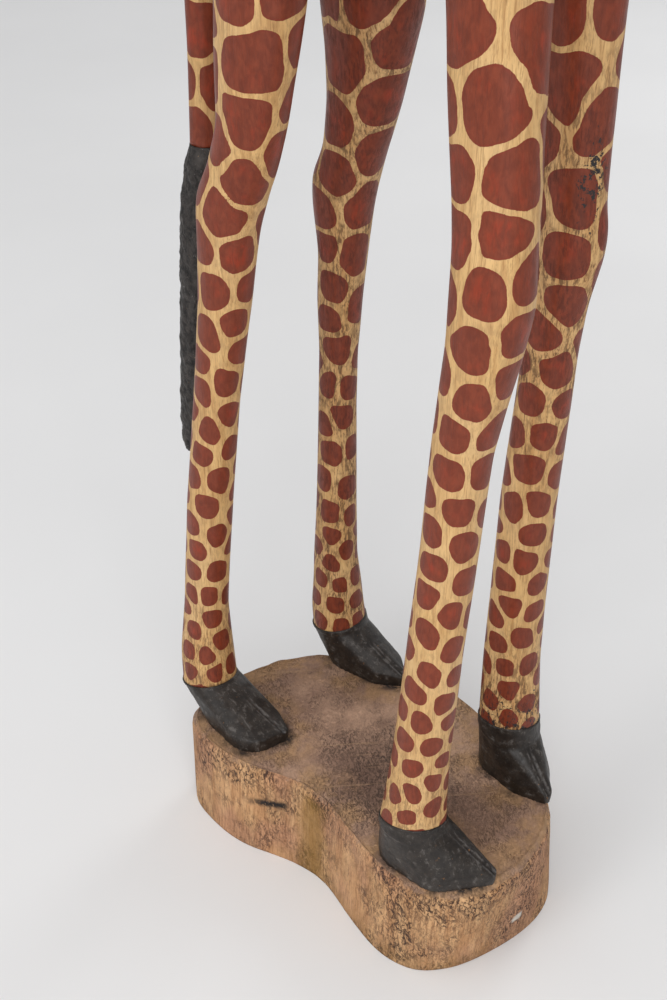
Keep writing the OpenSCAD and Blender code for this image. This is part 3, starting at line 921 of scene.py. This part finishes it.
def dress_leg(obj, side, seeds):
    drill(obj, "painted", ["foot_dowel_" + side, "hip_dowel_" + side])
    paint_patches(obj, seeds, 0.18)
    co = coords(obj.data)
    up = (co[:, 2] - SLAB_TOP) / MM
    set_value(obj, "dip", paint_gap(side, co))
    brighten(obj, "grime_and_shade", ramp(-up, -150, -40) * GRIME[side])
    # painted shade, with a little real grime: the hind left leg, shaded by the body and the other legs, is
    # darkened all over
    if side == "hind_left":
        brighten(obj, "grime_and_shade", np.full(len(co), 0.75))
    if side == "front_left":
        brighten(obj, "grime_and_shade", 0.75 * ramp(-np.abs(up - 330), -170, -40))
        # black specks beside the knee, and low on the shin
        knee = co[np.abs(up - 385) < 6].mean(0) + np.array([-6, -19, 1]) * MM
        away = np.linalg.norm((co - knee) / [1, 1, 2.4], axis=1)
        brighten(obj, "fleck", ramp(-away, -14 * MM, -4 * MM))
        brighten(obj, "fleck", 0.8 * ramp(-up, -90, -45))
    finish_piece(obj, "stand", ["leg_" + side])


HOOF_VOXEL = 0.8 * MM
CLEFT_WAVE = 0.7 * MM
HEEL_RADIUS = 6.8 * MM
HEEL_DEPTH = 5.5 * MM


def hull_of(node):
    """The convex hull of a CAD node, as a new object."""
    work = bmesh.new()
    work.from_mesh(NODES[node].data)
    hull = bmesh.ops.convex_hull(work, input=work.verts)
    keep = {g for g in hull["geom"] if isinstance(g, bmesh.types.BMFace)}
    bmesh.ops.delete(work, geom=[f for f in work.faces if f not in keep], context="FACES")
    bmesh.ops.delete(work, geom=[v for v in work.verts if not v.link_faces], context="VERTS")
    mesh = bpy.data.meshes.new("hull")
    work.to_mesh(mesh)
    work.free()
    obj = bpy.data.objects.new("hull", mesh)
    bpy.context.scene.collection.objects.link(obj)
    return obj


def collar(side, rings, plane):
    """The rim of thick black paint round the leg's end, from under the joint up to the paint line."""
    rows, around = 9, rings.shape[1]
    centre = rings[:12].mean((0, 1))
    grid = np.zeros((rows, around, 3))
    for column in range(around):
        path = rings[:, column]
        top = np.interp(0, paint_gap(side, path), path[:, 2])
        low = plane @ (1, path[0, 0], path[0, 1]) - 1.5 * MM
        heights = np.linspace(low, top, rows)
        for axis in (0, 1):
            grid[:, column, axis] = np.interp(heights, path[:, 2], path[:, axis])
        grid[:, column, 2] = heights
    out = grid - centre
    out[..., 2] = 0
    out /= np.linalg.norm(out, axis=2, keepdims=True)
    outer = grid + out * COLLAR_PROUD
    inner = grid - out * COLLAR_INSIDE
    loops = [*outer, *inner[::-1]]
    return add_object("collar", np.concatenate(loops), ring_faces(len(loops), around, turns=True))


def cleft_places(side, co):
    """How far each point is along the cleft, 0 at the leg to 1 at the toe, and beside it in mm."""
    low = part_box("hoof_" + side)[0]
    start = middle_of("foot_dowel_" + side)[:2]
    toe = coords(NODES["hoof_" + side].data)
    toe = toe[toe[:, 1] < low.y + 2.5 * MM][:, :2].mean(0)
    way = toe - start
    reach = np.linalg.norm(way)
    way = way / reach
    rel = co[:, :2] - start
    along = rel @ way / reach
    beside = rel @ np.array([-way[1], way[0]]) - CLEFT_WAVE * np.sin(along * 6 + 0.6)
    return along, beside / MM


def heel(side):
    """The painted heel of a hind hoof, round the dowel, where the slab's edge falls away under it."""
    x, y = middle_of("foot_dowel_" + side)[:2]
    return rod("heel", (x, y, SLAB_TOP - HEEL_DEPTH), (x, y, SLAB_TOP + 10 * MM), HEEL_RADIUS)


def make_hoof(side, rings, plane):
    node = "hoof_" + side
    shapes = [hull_of(node), collar(side, rings, plane)]
    if "hind" in side:
        shapes.append(heel(side))
    obj = voxel_skin("carved_" + node, [], HOOF_VOXEL, shapes)
    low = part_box(node)[0]
    co = coords(obj.data)
    below = -paint_gap(side, co)
    relax(obj.data, 9, 0.5, -0.52, ramp(below, 0.4, 2.0) * ramp(co[:, 2] - low.z, 0.5 * MM, 2 * MM))
    co, no = surface(obj)
    below = -paint_gap(side, co)
    # a fine cleft runs from the front of the leg down the ridge to the toe
    along, beside = cleft_places(side, co)
    groove = np.exp(-((beside / 0.8) ** 2)) * ramp(along, 0.3, 0.55) * ramp(no[:, 2], 0.02, 0.3)
    groove *= 0.55 + 0.9 * ramp(along, 0.88, 1.0)
    swell = np.exp(-(((np.abs(beside) - 3.0) / 2.2) ** 2)) * ramp(along, 0.4, 0.7)
    cuts = 0.4 * noise(co, (9, 9, 11), 61) + 0.22 * noise(co, 3.0, 62, 2)
    keep = ramp(co[:, 2] - low.z, 0.5 * MM, 4 * MM) * ramp(below, 0.5, 3)
    move = (-groove + (0.45 * swell + 0.8 * cuts) * keep) * MM
    deepest = np.minimum(co[:, 2], low.z)
    co = co + no * move[:, None]
    co[:, 2] = np.maximum(co[:, 2], deepest)
    set_coords(obj.data, co)
    drill(obj, "black", ["foot_dowel_" + side])
    co, no = surface(obj)
    along, beside = cleft_places(side, co)
    # the two edges of the cleft, where the black paint gets a painted highlight and more chips
    edges = np.exp(-(((np.abs(beside) - 1.5) / 0.7) ** 2)) * ramp(along, 0.35, 0.6)
    edges *= ramp(no[:, 2], 0.0, 0.4)
    set_value(obj, "ridge", edges)
    finish_piece(obj, "stand", [node])


# ------------------------------------------------------------------ base slab
SLAB_AROUND = 560
SLAB_ROWS = 40
SLAB_TOP_RINGS = 90
RIM_DROPS = (4.4, 2.9, 1.6, 0.6, 0)


def radius_of_rim(points, rim):
    """How far inside the slab's outline each point is."""
    angle = np.arctan2(points[:, 1], points[:, 0])
    rim_angle = np.arctan2(rim[:, 1], rim[:, 0])
    order = np.argsort(rim_angle)
    rim_radius = np.linalg.norm(rim[order, :2], axis=1)
    outer = np.interp(angle, rim_angle[order], rim_radius, period=2 * math.pi)
    return outer - np.linalg.norm(points[:, :2], axis=1)


def from_hooves(co):
    """How far each point is from the nearest hoof's sole, seen from above, in mm."""
    away = np.full(len(co), FAR)
    for side in SIDES:
        hoof = coords(bpy.data.objects["carved_hoof_" + side].data)
        sole = hoof[hoof[:, 2] < SLAB_TOP + 3 * MM][::7]
        places, targets = ((points[:, :2] / MM).astype(np.float32) for points in (co, sole))
        away = np.minimum(away, nearest(places, targets)[1])
    return away


def slab_rings(tree, low, high):
    """Rings of points up the slab's side, lowest first."""
    rim = high.z - MM * np.array(RIM_DROPS)
    heights = np.concatenate([np.linspace(low.z, high.z - 6 * MM, SLAB_ROWS), rim])
    angles = np.arange(SLAB_AROUND) * 2 * math.pi / SLAB_AROUND
    rings = np.zeros((len(heights), SLAB_AROUND, 3))
    for row, z in enumerate(heights):
        level = min(max(z, low.z + 0.1 * MM), high.z - 0.1 * MM)
        for column, angle in enumerate(angles):
            out = radial_hit(tree, (0, 0), level, angle)
            rings[row, column] = (out * math.cos(angle), out * math.sin(angle), z)
    return blur(rings.transpose(1, 0, 2), 3.0, True).transpose(1, 0, 2)


def make_base():
    low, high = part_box("base")
    rings = slab_rings(tree_of("base"), low, high)
    # cross the top in rings that shrink to the middle
    middle = np.array([0, 0, high.z])
    layers = list(rings)
    for k in range(1, SLAB_TOP_RINGS):
        layers.append(middle + (rings[-1] - middle) * (1 - k / SLAB_TOP_RINGS))
    verts = np.concatenate(layers + [middle[None], np.array([[0, 0, low.z]])])
    faces = ring_faces(len(layers), SLAB_AROUND)
    last = (len(layers) - 1) * SLAB_AROUND
    faces += end_fans(SLAB_AROUND, len(verts) - 1, len(verts) - 2, last)
    obj = add_object("carved_base", verts, faces)
    co, no = surface(obj)
    rows = np.minimum(np.arange(len(co)) // SLAB_AROUND, len(layers) - 1)
    is_side = rows < len(rings)
    depth = high.z - co[:, 2]
    # side: shallow upright planes from the adze, and a torn upper edge
    planes = 1.1 * noise(co, (26, 26, 90), 71) + 0.4 * noise(co, (7, 7, 30), 72)
    tear = noise(co, (9, 9, 14), 73, 2) * ramp(-depth, -22 * MM, -4 * MM)
    side_move = (planes * 0.6 + tear) * ramp(co[:, 2] - low.z, -4 * MM, 6 * MM)
    flat = no.copy()
    flat[:, 2] = 0
    flat /= np.maximum(np.linalg.norm(flat, axis=1, keepdims=True), 1e-9)
    co = co + flat * (np.where(is_side, side_move, 0) * MM)[:, None]
    # top: dished by the gouge, falling away at the rounded rim
    radius = np.linalg.norm(co[:, :2], axis=1)
    inward = np.clip((rows - len(rings) + 1) / SLAB_TOP_RINGS, 0, 1) * radius.max()
    dish = 0.55 * noise(co, 30, 74) + 0.3 * noise(co, 9, 75, 2) - 0.35
    fall = np.exp(-inward / (5 * MM)) * (1.2 + 1.0 * noise(co, 12, 76, 2))
    sink = (np.minimum(dish, 0.0) * ramp(inward, 0, 12 * MM) - np.maximum(fall, 0)) * MM
    top = ~is_side
    top[-1] = False
    co[top, 2] += (sink * (1 - ramp(-from_hooves(co), -9, 0)))[top]
    set_coords(obj.data, co)
    drill(obj, "slab", ["foot_dowel_" + side for side in SIDES])
    dress_base(obj, rings[-1])
    finish_piece(obj, "stand", ["base"])


def dress_base(obj, outline):
    """Writes where the slab's top begins, where it is worn, stained and marked, and where shadow is
    painted round the hooves.
    """
    co, no = surface(obj)
    x, y = co[:, 0], co[:, 1]
    depth = SLAB_TOP - co[:, 2]
    away = from_hooves(co) + np.maximum(depth / MM, 0) * 1.5
    upper = 0.35 + 0.65 * ramp(no[:, 2], 0.2, 0.9)
    set_value(obj, "top", ramp(-depth, -8 * MM, -1.5 * MM) * upper)
    patchy = 0.6 + 0.6 * noise(co, 24, 77)
    lobe = 0.45 * ramp(-y, 40 * MM, 85 * MM) * ramp(noise(co, 30, 83, 2), -0.35, 0.25)
    set_value(obj, "edge", np.maximum(ramp(-depth, -30 * MM, -6 * MM) * patchy, lobe))
    middle = np.linalg.norm((co - [-12 * MM, -22 * MM, SLAB_TOP]) / [1, 1.5, 1], axis=1)
    set_value(obj, "deep", ramp(-middle, -48 * MM, -14 * MM))
    rim = ramp(-(radius_of_rim(co, outline) / MM), -34, -6)
    set_value(obj, "worn", np.maximum(rim, ramp(-away, -26, -8)))
    # painted shadow, in blotches, close round each hoof's sole
    blots = 0.5 + 0.5 * noise(co, 11, 78, 2)
    set_value(obj, "hoof_shadow", ramp(-away, -7.5, -0.8) * ramp(blots, 0.25, 0.75))
    waist = np.linalg.norm((co - [-57 * MM, 2 * MM, SLAB_TOP - 34 * MM]) / [1, 1, 9], axis=1)
    low_down = 0.5 * ramp(depth, 50 * MM, 66 * MM) * ramp(noise(co, 50, 79), -0.2, 0.5)
    moss = np.clip(ramp(-waist, -17 * MM, -3 * MM) + low_down, 0, 1)
    set_value(obj, "moss", moss * ramp(depth, 2 * MM, 10 * MM))
    # a dark streak on the right side, and a white chip on the front
    line = np.abs(depth - 26.2 * MM - 0.27 * (y - 34 * MM)) / MM
    ends = ramp(y, 18 * MM, 24 * MM) * ramp(-y, -54 * MM, -36 * MM)
    set_value(obj, "streak", ramp(-line, -3.4, -1.4) * ends * (x < 0))
    chip = np.linalg.norm((co - [-0.6 * MM, -115.8 * MM, SLAB_TOP - 49 * MM]) / [1.5, 1, 1], axis=1)
    set_value(obj, "chip", ramp(-chip + 0.8 * MM * noise(co, 2, 80), -3.2 * MM, -2.4 * MM))


# ------------------------------------------------------------------ tail
def make_tail():
    rings = limb_skin("tail", 1.6 * MM, 64, 5.0, 1.0)[0]
    uneven = 0.2 * noise(rings.reshape(-1, 3), (9, 9, 40), 81)
    rings = rings + outward(rings)[0] * in_rings(uneven, rings)
    return closed_rings("carved_tail", rings, bare_ends=False)


def make_tuft():
    rings = limb_skin("tail_tuft", 0.9 * MM, 120, 3.0, 0.8)[0]
    flat = rings.reshape(-1, 3)
    rough = 0.9 * noise(flat, (5, 5, 9), 91, 2) + 0.6 * noise(flat, (2, 2, 3), 92, 2)
    rough += 0.4 * noise(flat, 14, 93)
    out, radius = outward(rings)
    rings = rings + out * np.minimum(in_rings(rough, rings), 0.5 * radius) * 0.9
    obj = closed_rings("carved_tail_tuft", rings, bare_ends=False)
    obj.data.materials.append(MATERIALS["tuft"])
    finish_piece(obj, "stand", ["tail_tuft"])


# ------------------------------------------------------------------ body, neck and head
def plugs(node, rods, extra=0.5 * MM):
    """Bars that fill a CAD piece's dowel holes, cut off at the piece's own box."""
    low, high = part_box(node)
    made = []
    for other in rods:
        start, end, size, axis, middle = bar_box(other)
        first, last = middle.copy(), middle.copy()
        first[axis] = max(start[axis] - 1.5 * MM, low[axis] + 0.01 * MM)
        last[axis] = min(end[axis] + 1.5 * MM, high[axis] - 0.01 * MM)
        made.append(rod("plug", first, last, min(size) / 2 + extra))
    return made


def make_torso():
    rods = ["hip_dowel_" + s for s in SIDES] + ["neck_tenon", "neck_peg", "tail_dowel"]
    obj = voxel_skin("carved_torso", ["torso"], BODY_VOXEL, plugs("torso", rods))
    low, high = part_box("torso")
    co = coords(obj.data)
    edge = np.minimum(co[:, 2] - low.z, high.z - co[:, 2])
    relax(obj.data, 120, 0.5, -0.503, ramp(edge, 0.5 * MM, 14 * MM))
    co, no = surface(obj)
    edge = np.minimum(co[:, 2] - low.z, high.z - co[:, 2])
    carve = 0.9 * noise(co, (40, 60, 40), 111) + 0.25 * noise(co, 9, 112, 2)
    # a shallow hollow behind each shoulder and before each haunch, and a line of backbone
    flank = np.exp(-(((co[:, 1] - 15 * MM) / (34 * MM)) ** 2)) * ramp(np.abs(no[:, 0]), 0.5, 0.9)
    carve -= 3.0 * flank
    spine = np.exp(-((co[:, 0] / (9 * MM)) ** 2)) * ramp(no[:, 2], 0.6, 0.95)
    carve += 1.6 * spine
    hair = 1.0 + 1.3 * noise(co, (5, 9, 7), 122, 2)
    carve += hair * ramp(withers_depth(co), -1.5, 2.0)
    carve *= ramp(edge, 0.5 * MM, 16 * MM)
    co = co + no * carve[:, None] * MM
    for level, way in ((low.z, -1), (high.z, 1)):
        near = (np.abs(co[:, 2] - level) < 1.2 * MM) & (no[:, 2] * way > 0.6)
        co[near, 2] = level
    set_coords(obj.data, co)
    return obj, rods


def make_neck():
    rings = limb_skin("neck", 2.0 * MM, 120, 12.0, 0.7)[0]
    flat = rings.reshape(-1, 3)
    uneven = 0.4 * noise(flat, (20, 20, 80), 121)
    # tufts of mane along the crest behind
    hair = 1.5 * noise(flat, (5, 9, 7), 122, 2) + 0.9 * noise(flat, (2.5, 4, 3), 123)
    uneven += hair * ramp(mane_depth(flat), -1.0, 2.0)
    rows = np.arange(len(rings))
    ends = ramp(rows, 0, 6) * ramp(len(rings) - 1 - rows, 0, 6)
    rings = rings + outward(rings)[0] * (in_rings(uneven, rings) * ends[:, None, None])
    return closed_rings("carved_neck", longer(rings, 2.0 * MM))


MANE_HALF = 6.5


def mane_depth(points):
    """How far inside the mane's strip along the back of the neck each point is, in mm."""
    middle = np.interp(points[:, 2], MANE_LINE[0], MANE_LINE[1])
    behind = (points[:, 1] - middle) / MM
    wave = 1.2 * noise(points, 12, 131, 2)
    return np.minimum(MANE_HALF - np.abs(points[:, 0]) / MM, (behind - 8) * 0.6) + wave


def withers_depth(points):
    """How far inside the mane's last stretch, on the root of the neck, each point is, in mm."""
    width = (MANE_HALF + 2) * ramp(points[:, 2], 0.9, 0.97) - 2
    behind = (points[:, 1] - MANE_LINE[1][0]) / MM
    wave = 1.2 * noise(points, 12, 131, 2)
    return np.minimum(width - np.abs(points[:, 0]) / MM, (behind - 8) * 0.6) + wave


def on_skull(points):
    """Points measured along the face, up from it and across, in mm from the poll."""
    rel = (points - SKULL[0]) / MM
    return rel @ SKULL[1], rel @ SKULL[2], rel[:, 0]


def ring_at(centre, axis, radius, thick, squash=1.0):
    """A torus for a lid or a collar, to be merged into a voxel skin."""
    axis = Vector(axis).normalized()
    side = axis.orthogonal().normalized()
    other = axis.cross(side)
    around, across = 40, 14
    verts = []
    for k in range(around):
        a = 2 * math.pi * k / around
        way = math.cos(a) * side + math.sin(a) * other
        for j in range(across):
            b = 2 * math.pi * j / across
            out = way * (radius + thick * math.cos(b))
            verts.append(Vector(centre) + out + axis * thick * squash * math.sin(b))
    return add_object("ring", verts, ring_faces(around, across, turns=True))


def long_axis(node):
    """Direction of the length, of the width and of the thickness of a CAD node."""
    co = coords(NODES[node].data)
    axes = np.linalg.eigh(np.cov((co - co.mean(0)).T))[1]
    return axes[:, 2], axes[:, 1], axes[:, 0]


def root_of(node):
    """The end of an ear or horn that is let into the skull, and the way it points."""
    co = coords(NODES[node].data)
    way = long_axis(node)[0]
    if way @ (co.mean(0) - middle_of("head")) < 0:
        way = -way
    depth = co @ way
    return co[depth < depth.min() + 0.6 * MM].mean(0), way


def make_head():
    extra = []
    for name, side in (("left", 1), ("right", -1)):
        _, y, z = middle_of("eye_" + name)
        extra.append(ring_at((EYE_RIM * side, y, z), (1, 0, 0), 9.0 * MM, 2.6 * MM, 1.3))
        place, way = root_of("ear_" + name)
        extra.append(ring_at(place + way * EAR_COLLAR, way, 6.0 * MM, 2.4 * MM))
    extra += plugs("head", ["head_dowel"])
    obj = voxel_skin("carved_head", ["head"], HEAD_VOXEL, extra)
    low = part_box("head")[0]
    edge = ramp(coords(obj.data)[:, 2] - low.z, 0.5 * MM, 9 * MM)
    relax(obj.data, 45, 0.5, -0.508, edge)
    co, no = surface(obj)
    along, rise, side = on_skull(co)
    carve = 0.5 * noise(co, 18, 141) + 0.2 * noise(co, 5, 142, 2)
    # mouth line round the muzzle, nostrils, hollow cheeks and a raised bridge of the nose
    lip = -15.5 - 0.035 * (190 - along) + 1.2 * np.sin(along / 9)
    carve -= 2.0 * np.exp(-(((rise - lip) / 1.5) ** 2)) * ramp(along, 132, 142)
    carve += 0.9 * np.exp(-(((rise - lip - 4) / 2.6) ** 2)) * ramp(along, 140, 155)
    nostril = np.sqrt(((along - 183) / 5.5) ** 2 + ((rise - 1.5 + (along - 183) * 0.4) / 2.4) ** 2)
    carve -= 2.8 * np.exp(-(nostril**2)) * ramp(np.abs(side), 5, 9)
    carve += 0.8 * np.exp(-((nostril - 1.7) ** 2) * 3) * ramp(np.abs(side), 5, 9)
    cheek = np.exp(-(((along - 105) / 22) ** 2)) * np.exp(-(((rise + 2) / 10) ** 2))
    carve -= 1.8 * (cheek * ramp(np.abs(no[:, 0]), 0.5, 0.9))
    bridge = np.exp(-((side / 8) ** 2)) * ramp(rise, 4, 12) * ramp(along, 60, 90)
    carve += 1.6 * (bridge * ramp(-along, -165, -140))
    brow = np.exp(-(((along - 58) / 13) ** 2)) * np.exp(-(((rise - 24) / 4.5) ** 2))
    carve += 1.4 * (brow * ramp(np.abs(side), 12, 20))
    co = co + no * (carve * ramp(co[:, 2] - low.z, 0.5 * MM, 12 * MM))[:, None] * MM
    near = (np.abs(co[:, 2] - low.z) < 1.0 * MM) & (no[:, 2] < -0.6)
    co[near, 2] = low.z
    set_coords(obj.data, co)
    return obj


def make_ear(name):
    node = "ear_" + name
    obj = voxel_skin("carved_" + node, [node], 0.9 * MM)
    relax(obj.data, 90, 0.5, -0.503)
    co, no = surface(obj)
    root, way = root_of(node)
    _, wide, thin = long_axis(node)
    if thin[1] > 0:
        thin = -thin
    along = (co - root) @ way / MM
    across = (co - root) @ wide / MM
    half = np.interp(along, (14, 24, 40, 58, 74, 88), (7, 9, 13.5, 13.5, 8.5, 3))
    cup = np.clip(1 - (across / (0.86 * half)) ** 2, 0, 1) * ramp(along, 20, 34) * ramp(-along, -92, -76)
    inner = ramp(no @ thin, 0.2, 0.7)
    move = -3.0 * cup * inner + 0.35 * noise(co, 7, 151, 2)
    set_coords(obj.data, co + no * move[:, None] * MM)
    return obj, cup * inner


def make_horn(name):
    node = "horn_" + name
    obj = voxel_skin("carved_" + node, [node], 0.9 * MM)
    relax(obj.data, 24, 0.5, -0.51)
    co, no = surface(obj)
    move = 0.45 * noise(co, 9, 161, 2)
    set_coords(obj.data, co + no * move[:, None] * MM)
    return obj


BODY_VOXEL = 1.9 * MM
HEAD_VOXEL = 1.2 * MM
EYE_RIM = 28.0 * MM
EAR_COLLAR = 13.5 * MM
SKULL = (
    np.array([0, -120 * MM, 1692 * MM + SLAB_TOP]),
    np.array([0, -math.cos(math.radians(30)), -math.sin(math.radians(30))]),
    np.array([0, -math.sin(math.radians(30)), math.cos(math.radians(30))]),
)


def make_eye(name):
    """A turned glossy bead: a dome with a shallow ring cut round the pupil."""
    low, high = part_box("eye_" + name)
    middle, half = (low + high) / 2, (high - low) / 2
    facing = 1 if name == "left" else -1
    rows, around = 36, 64
    verts = []
    for row in range(1, rows):
        angle = math.pi * row / rows
        swell = 1 - 0.03 * math.exp(-(((angle - 0.62) / 0.07) ** 2))
        x = middle.x + facing * half.x * math.cos(angle) * swell
        wide = math.sin(angle) * swell
        for k in range(around):
            turn = 2 * math.pi * k / around
            y = middle.y + half.y * wide * math.cos(turn)
            verts.append((x, y, middle.z + half.z * wide * math.sin(turn)))
    verts += [(middle.x + way * facing * half.x, middle.y, middle.z) for way in (1, -1)]
    faces = ring_faces(rows - 1, around)
    faces += end_fans(around, len(verts) - 2, len(verts) - 1, (rows - 2) * around)
    if name == "right":
        faces = [face[::-1] for face in faces]
    obj = add_object("bead_eye_" + name, verts, faces)
    obj.data.materials.append(MATERIALS["eye"])
    finish_piece(obj, "neck", ["eye_" + name])


def crest_line():
    """Heights up the neck and the middle of its section at each."""
    tree = tree_of("neck")
    low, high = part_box("neck")
    heights = np.linspace(high.z - MM, low.z + MM, 40)
    cad = coords(NODES["neck"].data)
    guess = cad[cad[:, 2] > high.z - MM][:, :2].mean(0)
    middles = []
    for z in heights:
        guess = centre_at(tree, guess, z)
        middles.append(guess[1])
    return heights[::-1], np.array(middles)[::-1]


MANE_LINE = crest_line()


# ------------------------------------------------------------------ paint on the pieces
BARE_ROUND_EYE = 15
NOSE_FROM = 166
KNOB_FROM = 50


def patch_middles(legs, tail, torso, neck, head):
    """The middles of all the patches, scattered over each piece on its own."""
    pieces = [(leg, 2) for leg in legs] + [(tail, 2), (torso, 5), (neck, 3), (head, 4)]
    found = []
    for number, (obj, skip) in enumerate(pieces):
        points, nor = (rows[::skip] for rows in surface(obj))
        keep = np.ones(len(points), bool)
        if obj is torso:
            keep = (points[:, 2] > SLAB_TOP + 668 * MM) & (points[:, 2] < SLAB_TOP + 900 * MM)
        if obj is neck:
            keep = np.abs(points[:, 2] - (SLAB_TOP + 1255 * MM)) < 335 * MM
        found.append(scatter(points[keep], nor[keep], 100 + number))
    return np.concatenate(found)


def dress_tail(obj, seeds):
    drill(obj, "painted", ["tail_dowel"])
    paint_patches(obj, seeds, 0.2)
    finish_piece(obj, "stand", ["tail"])


def dress_torso(obj, rods, seeds):
    drill(obj, "painted", rods)
    paint_patches(obj, seeds, 0.12)
    set_value(obj, "dip", -withers_depth(coords(obj.data)))
    bare_seam(obj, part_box("torso")[1].z, 1)
    finish_piece(obj, "stand", ["torso"])


def dress_neck(obj, seeds):
    drill(obj, "painted", ["neck_tenon", "neck_peg", "head_dowel"])
    paint_patches(obj, seeds, 0.12)
    set_value(obj, "dip", -mane_depth(coords(obj.data)))
    bare_seam(obj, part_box("neck")[0].z, -1)
    finish_piece(obj, "neck", ["neck"])


def dress_head(obj, seeds):
    """A black nose, the top of the mane behind, and bare wood round the eyes."""
    drill(obj, "painted", ["head_dowel"])
    paint_patches(obj, seeds, 0.12)
    co, no = surface(obj)
    along, _, across = on_skull(co)
    nose = NOSE_FROM - along + 3 * noise(co, 12, 171, 2)
    mane = np.where(no[:, 1] > 0.35, np.abs(across) - 7.0, FAR)
    set_value(obj, "dip", np.minimum(nose, mane))
    away = np.full(len(co), FAR)
    for name in ("right", "left"):
        away = np.minimum(away, np.linalg.norm(co - middle_of("eye_" + name), axis=1) / MM)
    bare = away - BARE_ROUND_EYE + noise(co, 6, 173)
    set_value(obj, "spot", np.minimum(value_of(obj, "spot"), bare))
    finish_piece(obj, "neck", ["head"])


def dress_ear(obj, cup, name, seeds):
    """Painted all over but for its hollow."""
    obj.data.materials.append(MATERIALS["painted"])
    paint_patches(obj, seeds, 0.15)
    spot = np.clip((0.12 - cup) * 16, -3, 3) + 0.5 * noise(coords(obj.data), 5, 172)
    set_value(obj, "spot", spot)
    finish_piece(obj, "neck", ["ear_" + name])


def dress_horn(obj, name, seeds):
    """Bare wood with a black knob."""
    obj.data.materials.append(MATERIALS["painted"])
    paint_patches(obj, seeds, 0.15)
    place, way = root_of("horn_" + name)
    up = (coords(obj.data) - place) @ way / MM
    set_value(obj, "spot", np.full(len(up), BARE))
    set_value(obj, "dip", KNOB_FROM - up)
    finish_piece(obj, "neck", ["horn_" + name])


# ------------------------------------------------------------------ build
legs, leg_shapes = make_legs()
tail = make_tail()
for side in SIDES:
    make_hoof(side, *leg_shapes[side])
make_base()
make_tuft()
torso, torso_rods = make_torso()
neck = make_neck()
head = make_head()
ears = {name: make_ear(name) for name in ("right", "left")}
horns = {name: make_horn(name) for name in ("right", "left")}
for name in ("right", "left"):
    make_eye(name)

middles = patch_middles(legs.values(), tail, torso, neck, head)
for side in SIDES:
    dress_leg(legs[side], side, middles)
dress_tail(tail, middles)
dress_torso(torso, torso_rods, middles)
dress_neck(neck, middles)
dress_head(head, middles)
for name in ("right", "left"):
    dress_ear(*ears[name], name, middles)
    dress_horn(horns[name], name, middles)

# ------------------------------------------------------------------ CAD nodes that keep their own shape
for node in NODES.values():
    node.data.materials.clear()
    node.data.materials.append(MATERIALS["dowel"])


# ------------------------------------------------------------------ room, light and camera
FLOOR_HALF = 40.0
CAMERA_PLACE = (-0.4445, -0.4486, 0.668)
CAMERA_DOWN = 33.3
CAMERA_TURN = -42


def make_stage():
    corners = [(x * FLOOR_HALF, y * FLOOR_HALF, 0) for x, y in ((-1, -1), (1, -1), (1, 1), (-1, 1))]
    floor = add_object("floor", corners, [(0, 1, 2, 3)])
    p = Paint("pale_floor")
    mist = p.noise(p.place, 3.0, 3)
    colour = p.mix(p.step(mist, 0.3, 0.7), (0.83, 0.828, 0.827, 1), (0.81, 0.808, 0.807, 1))
    floor.data.materials.append(p.finish(colour, 0.6, None, Specular_IOR_Level=0.2))
    world = bpy.data.worlds.new("studio")
    bpy.context.scene.world = world
    world.use_nodes = True
    back = world.node_tree.nodes["Background"]
    back.inputs["Color"].default_value = (0.98, 0.985, 1.0, 1)
    back.inputs["Strength"].default_value = 0.41


def add_light(name, place, target, size, power):
    light = bpy.data.lights.new(name, "AREA")
    light.shape = "RECTANGLE"
    light.size, light.size_y = size
    light.energy = power
    obj = bpy.data.objects.new(name, light)
    obj.location = place
    obj.rotation_euler = (Vector(target) - Vector(place)).to_track_quat("-Z", "Y").to_euler()
    bpy.context.scene.collection.objects.link(obj)


def add_sun():
    """A broad soft light from above, leaning a little from -X, the same all over the floor."""
    sun = bpy.data.lights.new("ceiling", "SUN")
    sun.energy = 1.0
    sun.angle = math.radians(60)
    obj = bpy.data.objects.new("ceiling", sun)
    obj.rotation_euler = Vector((0.35, 0.05, -1)).to_track_quat("-Z", "Y").to_euler()
    bpy.context.scene.collection.objects.link(obj)


def make_camera():
    camera = bpy.data.cameras.new("camera")
    camera.lens = 50
    camera.sensor_width = 36
    camera.clip_start = 0.01
    obj = bpy.data.objects.new("camera", camera)
    obj.location = CAMERA_PLACE
    obj.rotation_euler = (math.radians(90 - CAMERA_DOWN), 0, math.radians(CAMERA_TURN))
    bpy.context.scene.collection.objects.link(obj)
    bpy.context.scene.camera = obj


make_stage()
add_light("key", (-2.2, 0.1, 1.35), (0, 0, 0.2), (0.8, 1.4), 10.5)
add_light("fill", (-1.1, -1.4, 0.9), (0, 0, 0.0), (1.0, 0.8), 12)
add_sun()
add_light("rim", (2.0, 0.6, 1.5), (0, 0, 0.5), (0.7, 1.6), 9)
make_camera()
bpy.context.scene.view_settings.view_transform = "Standard"
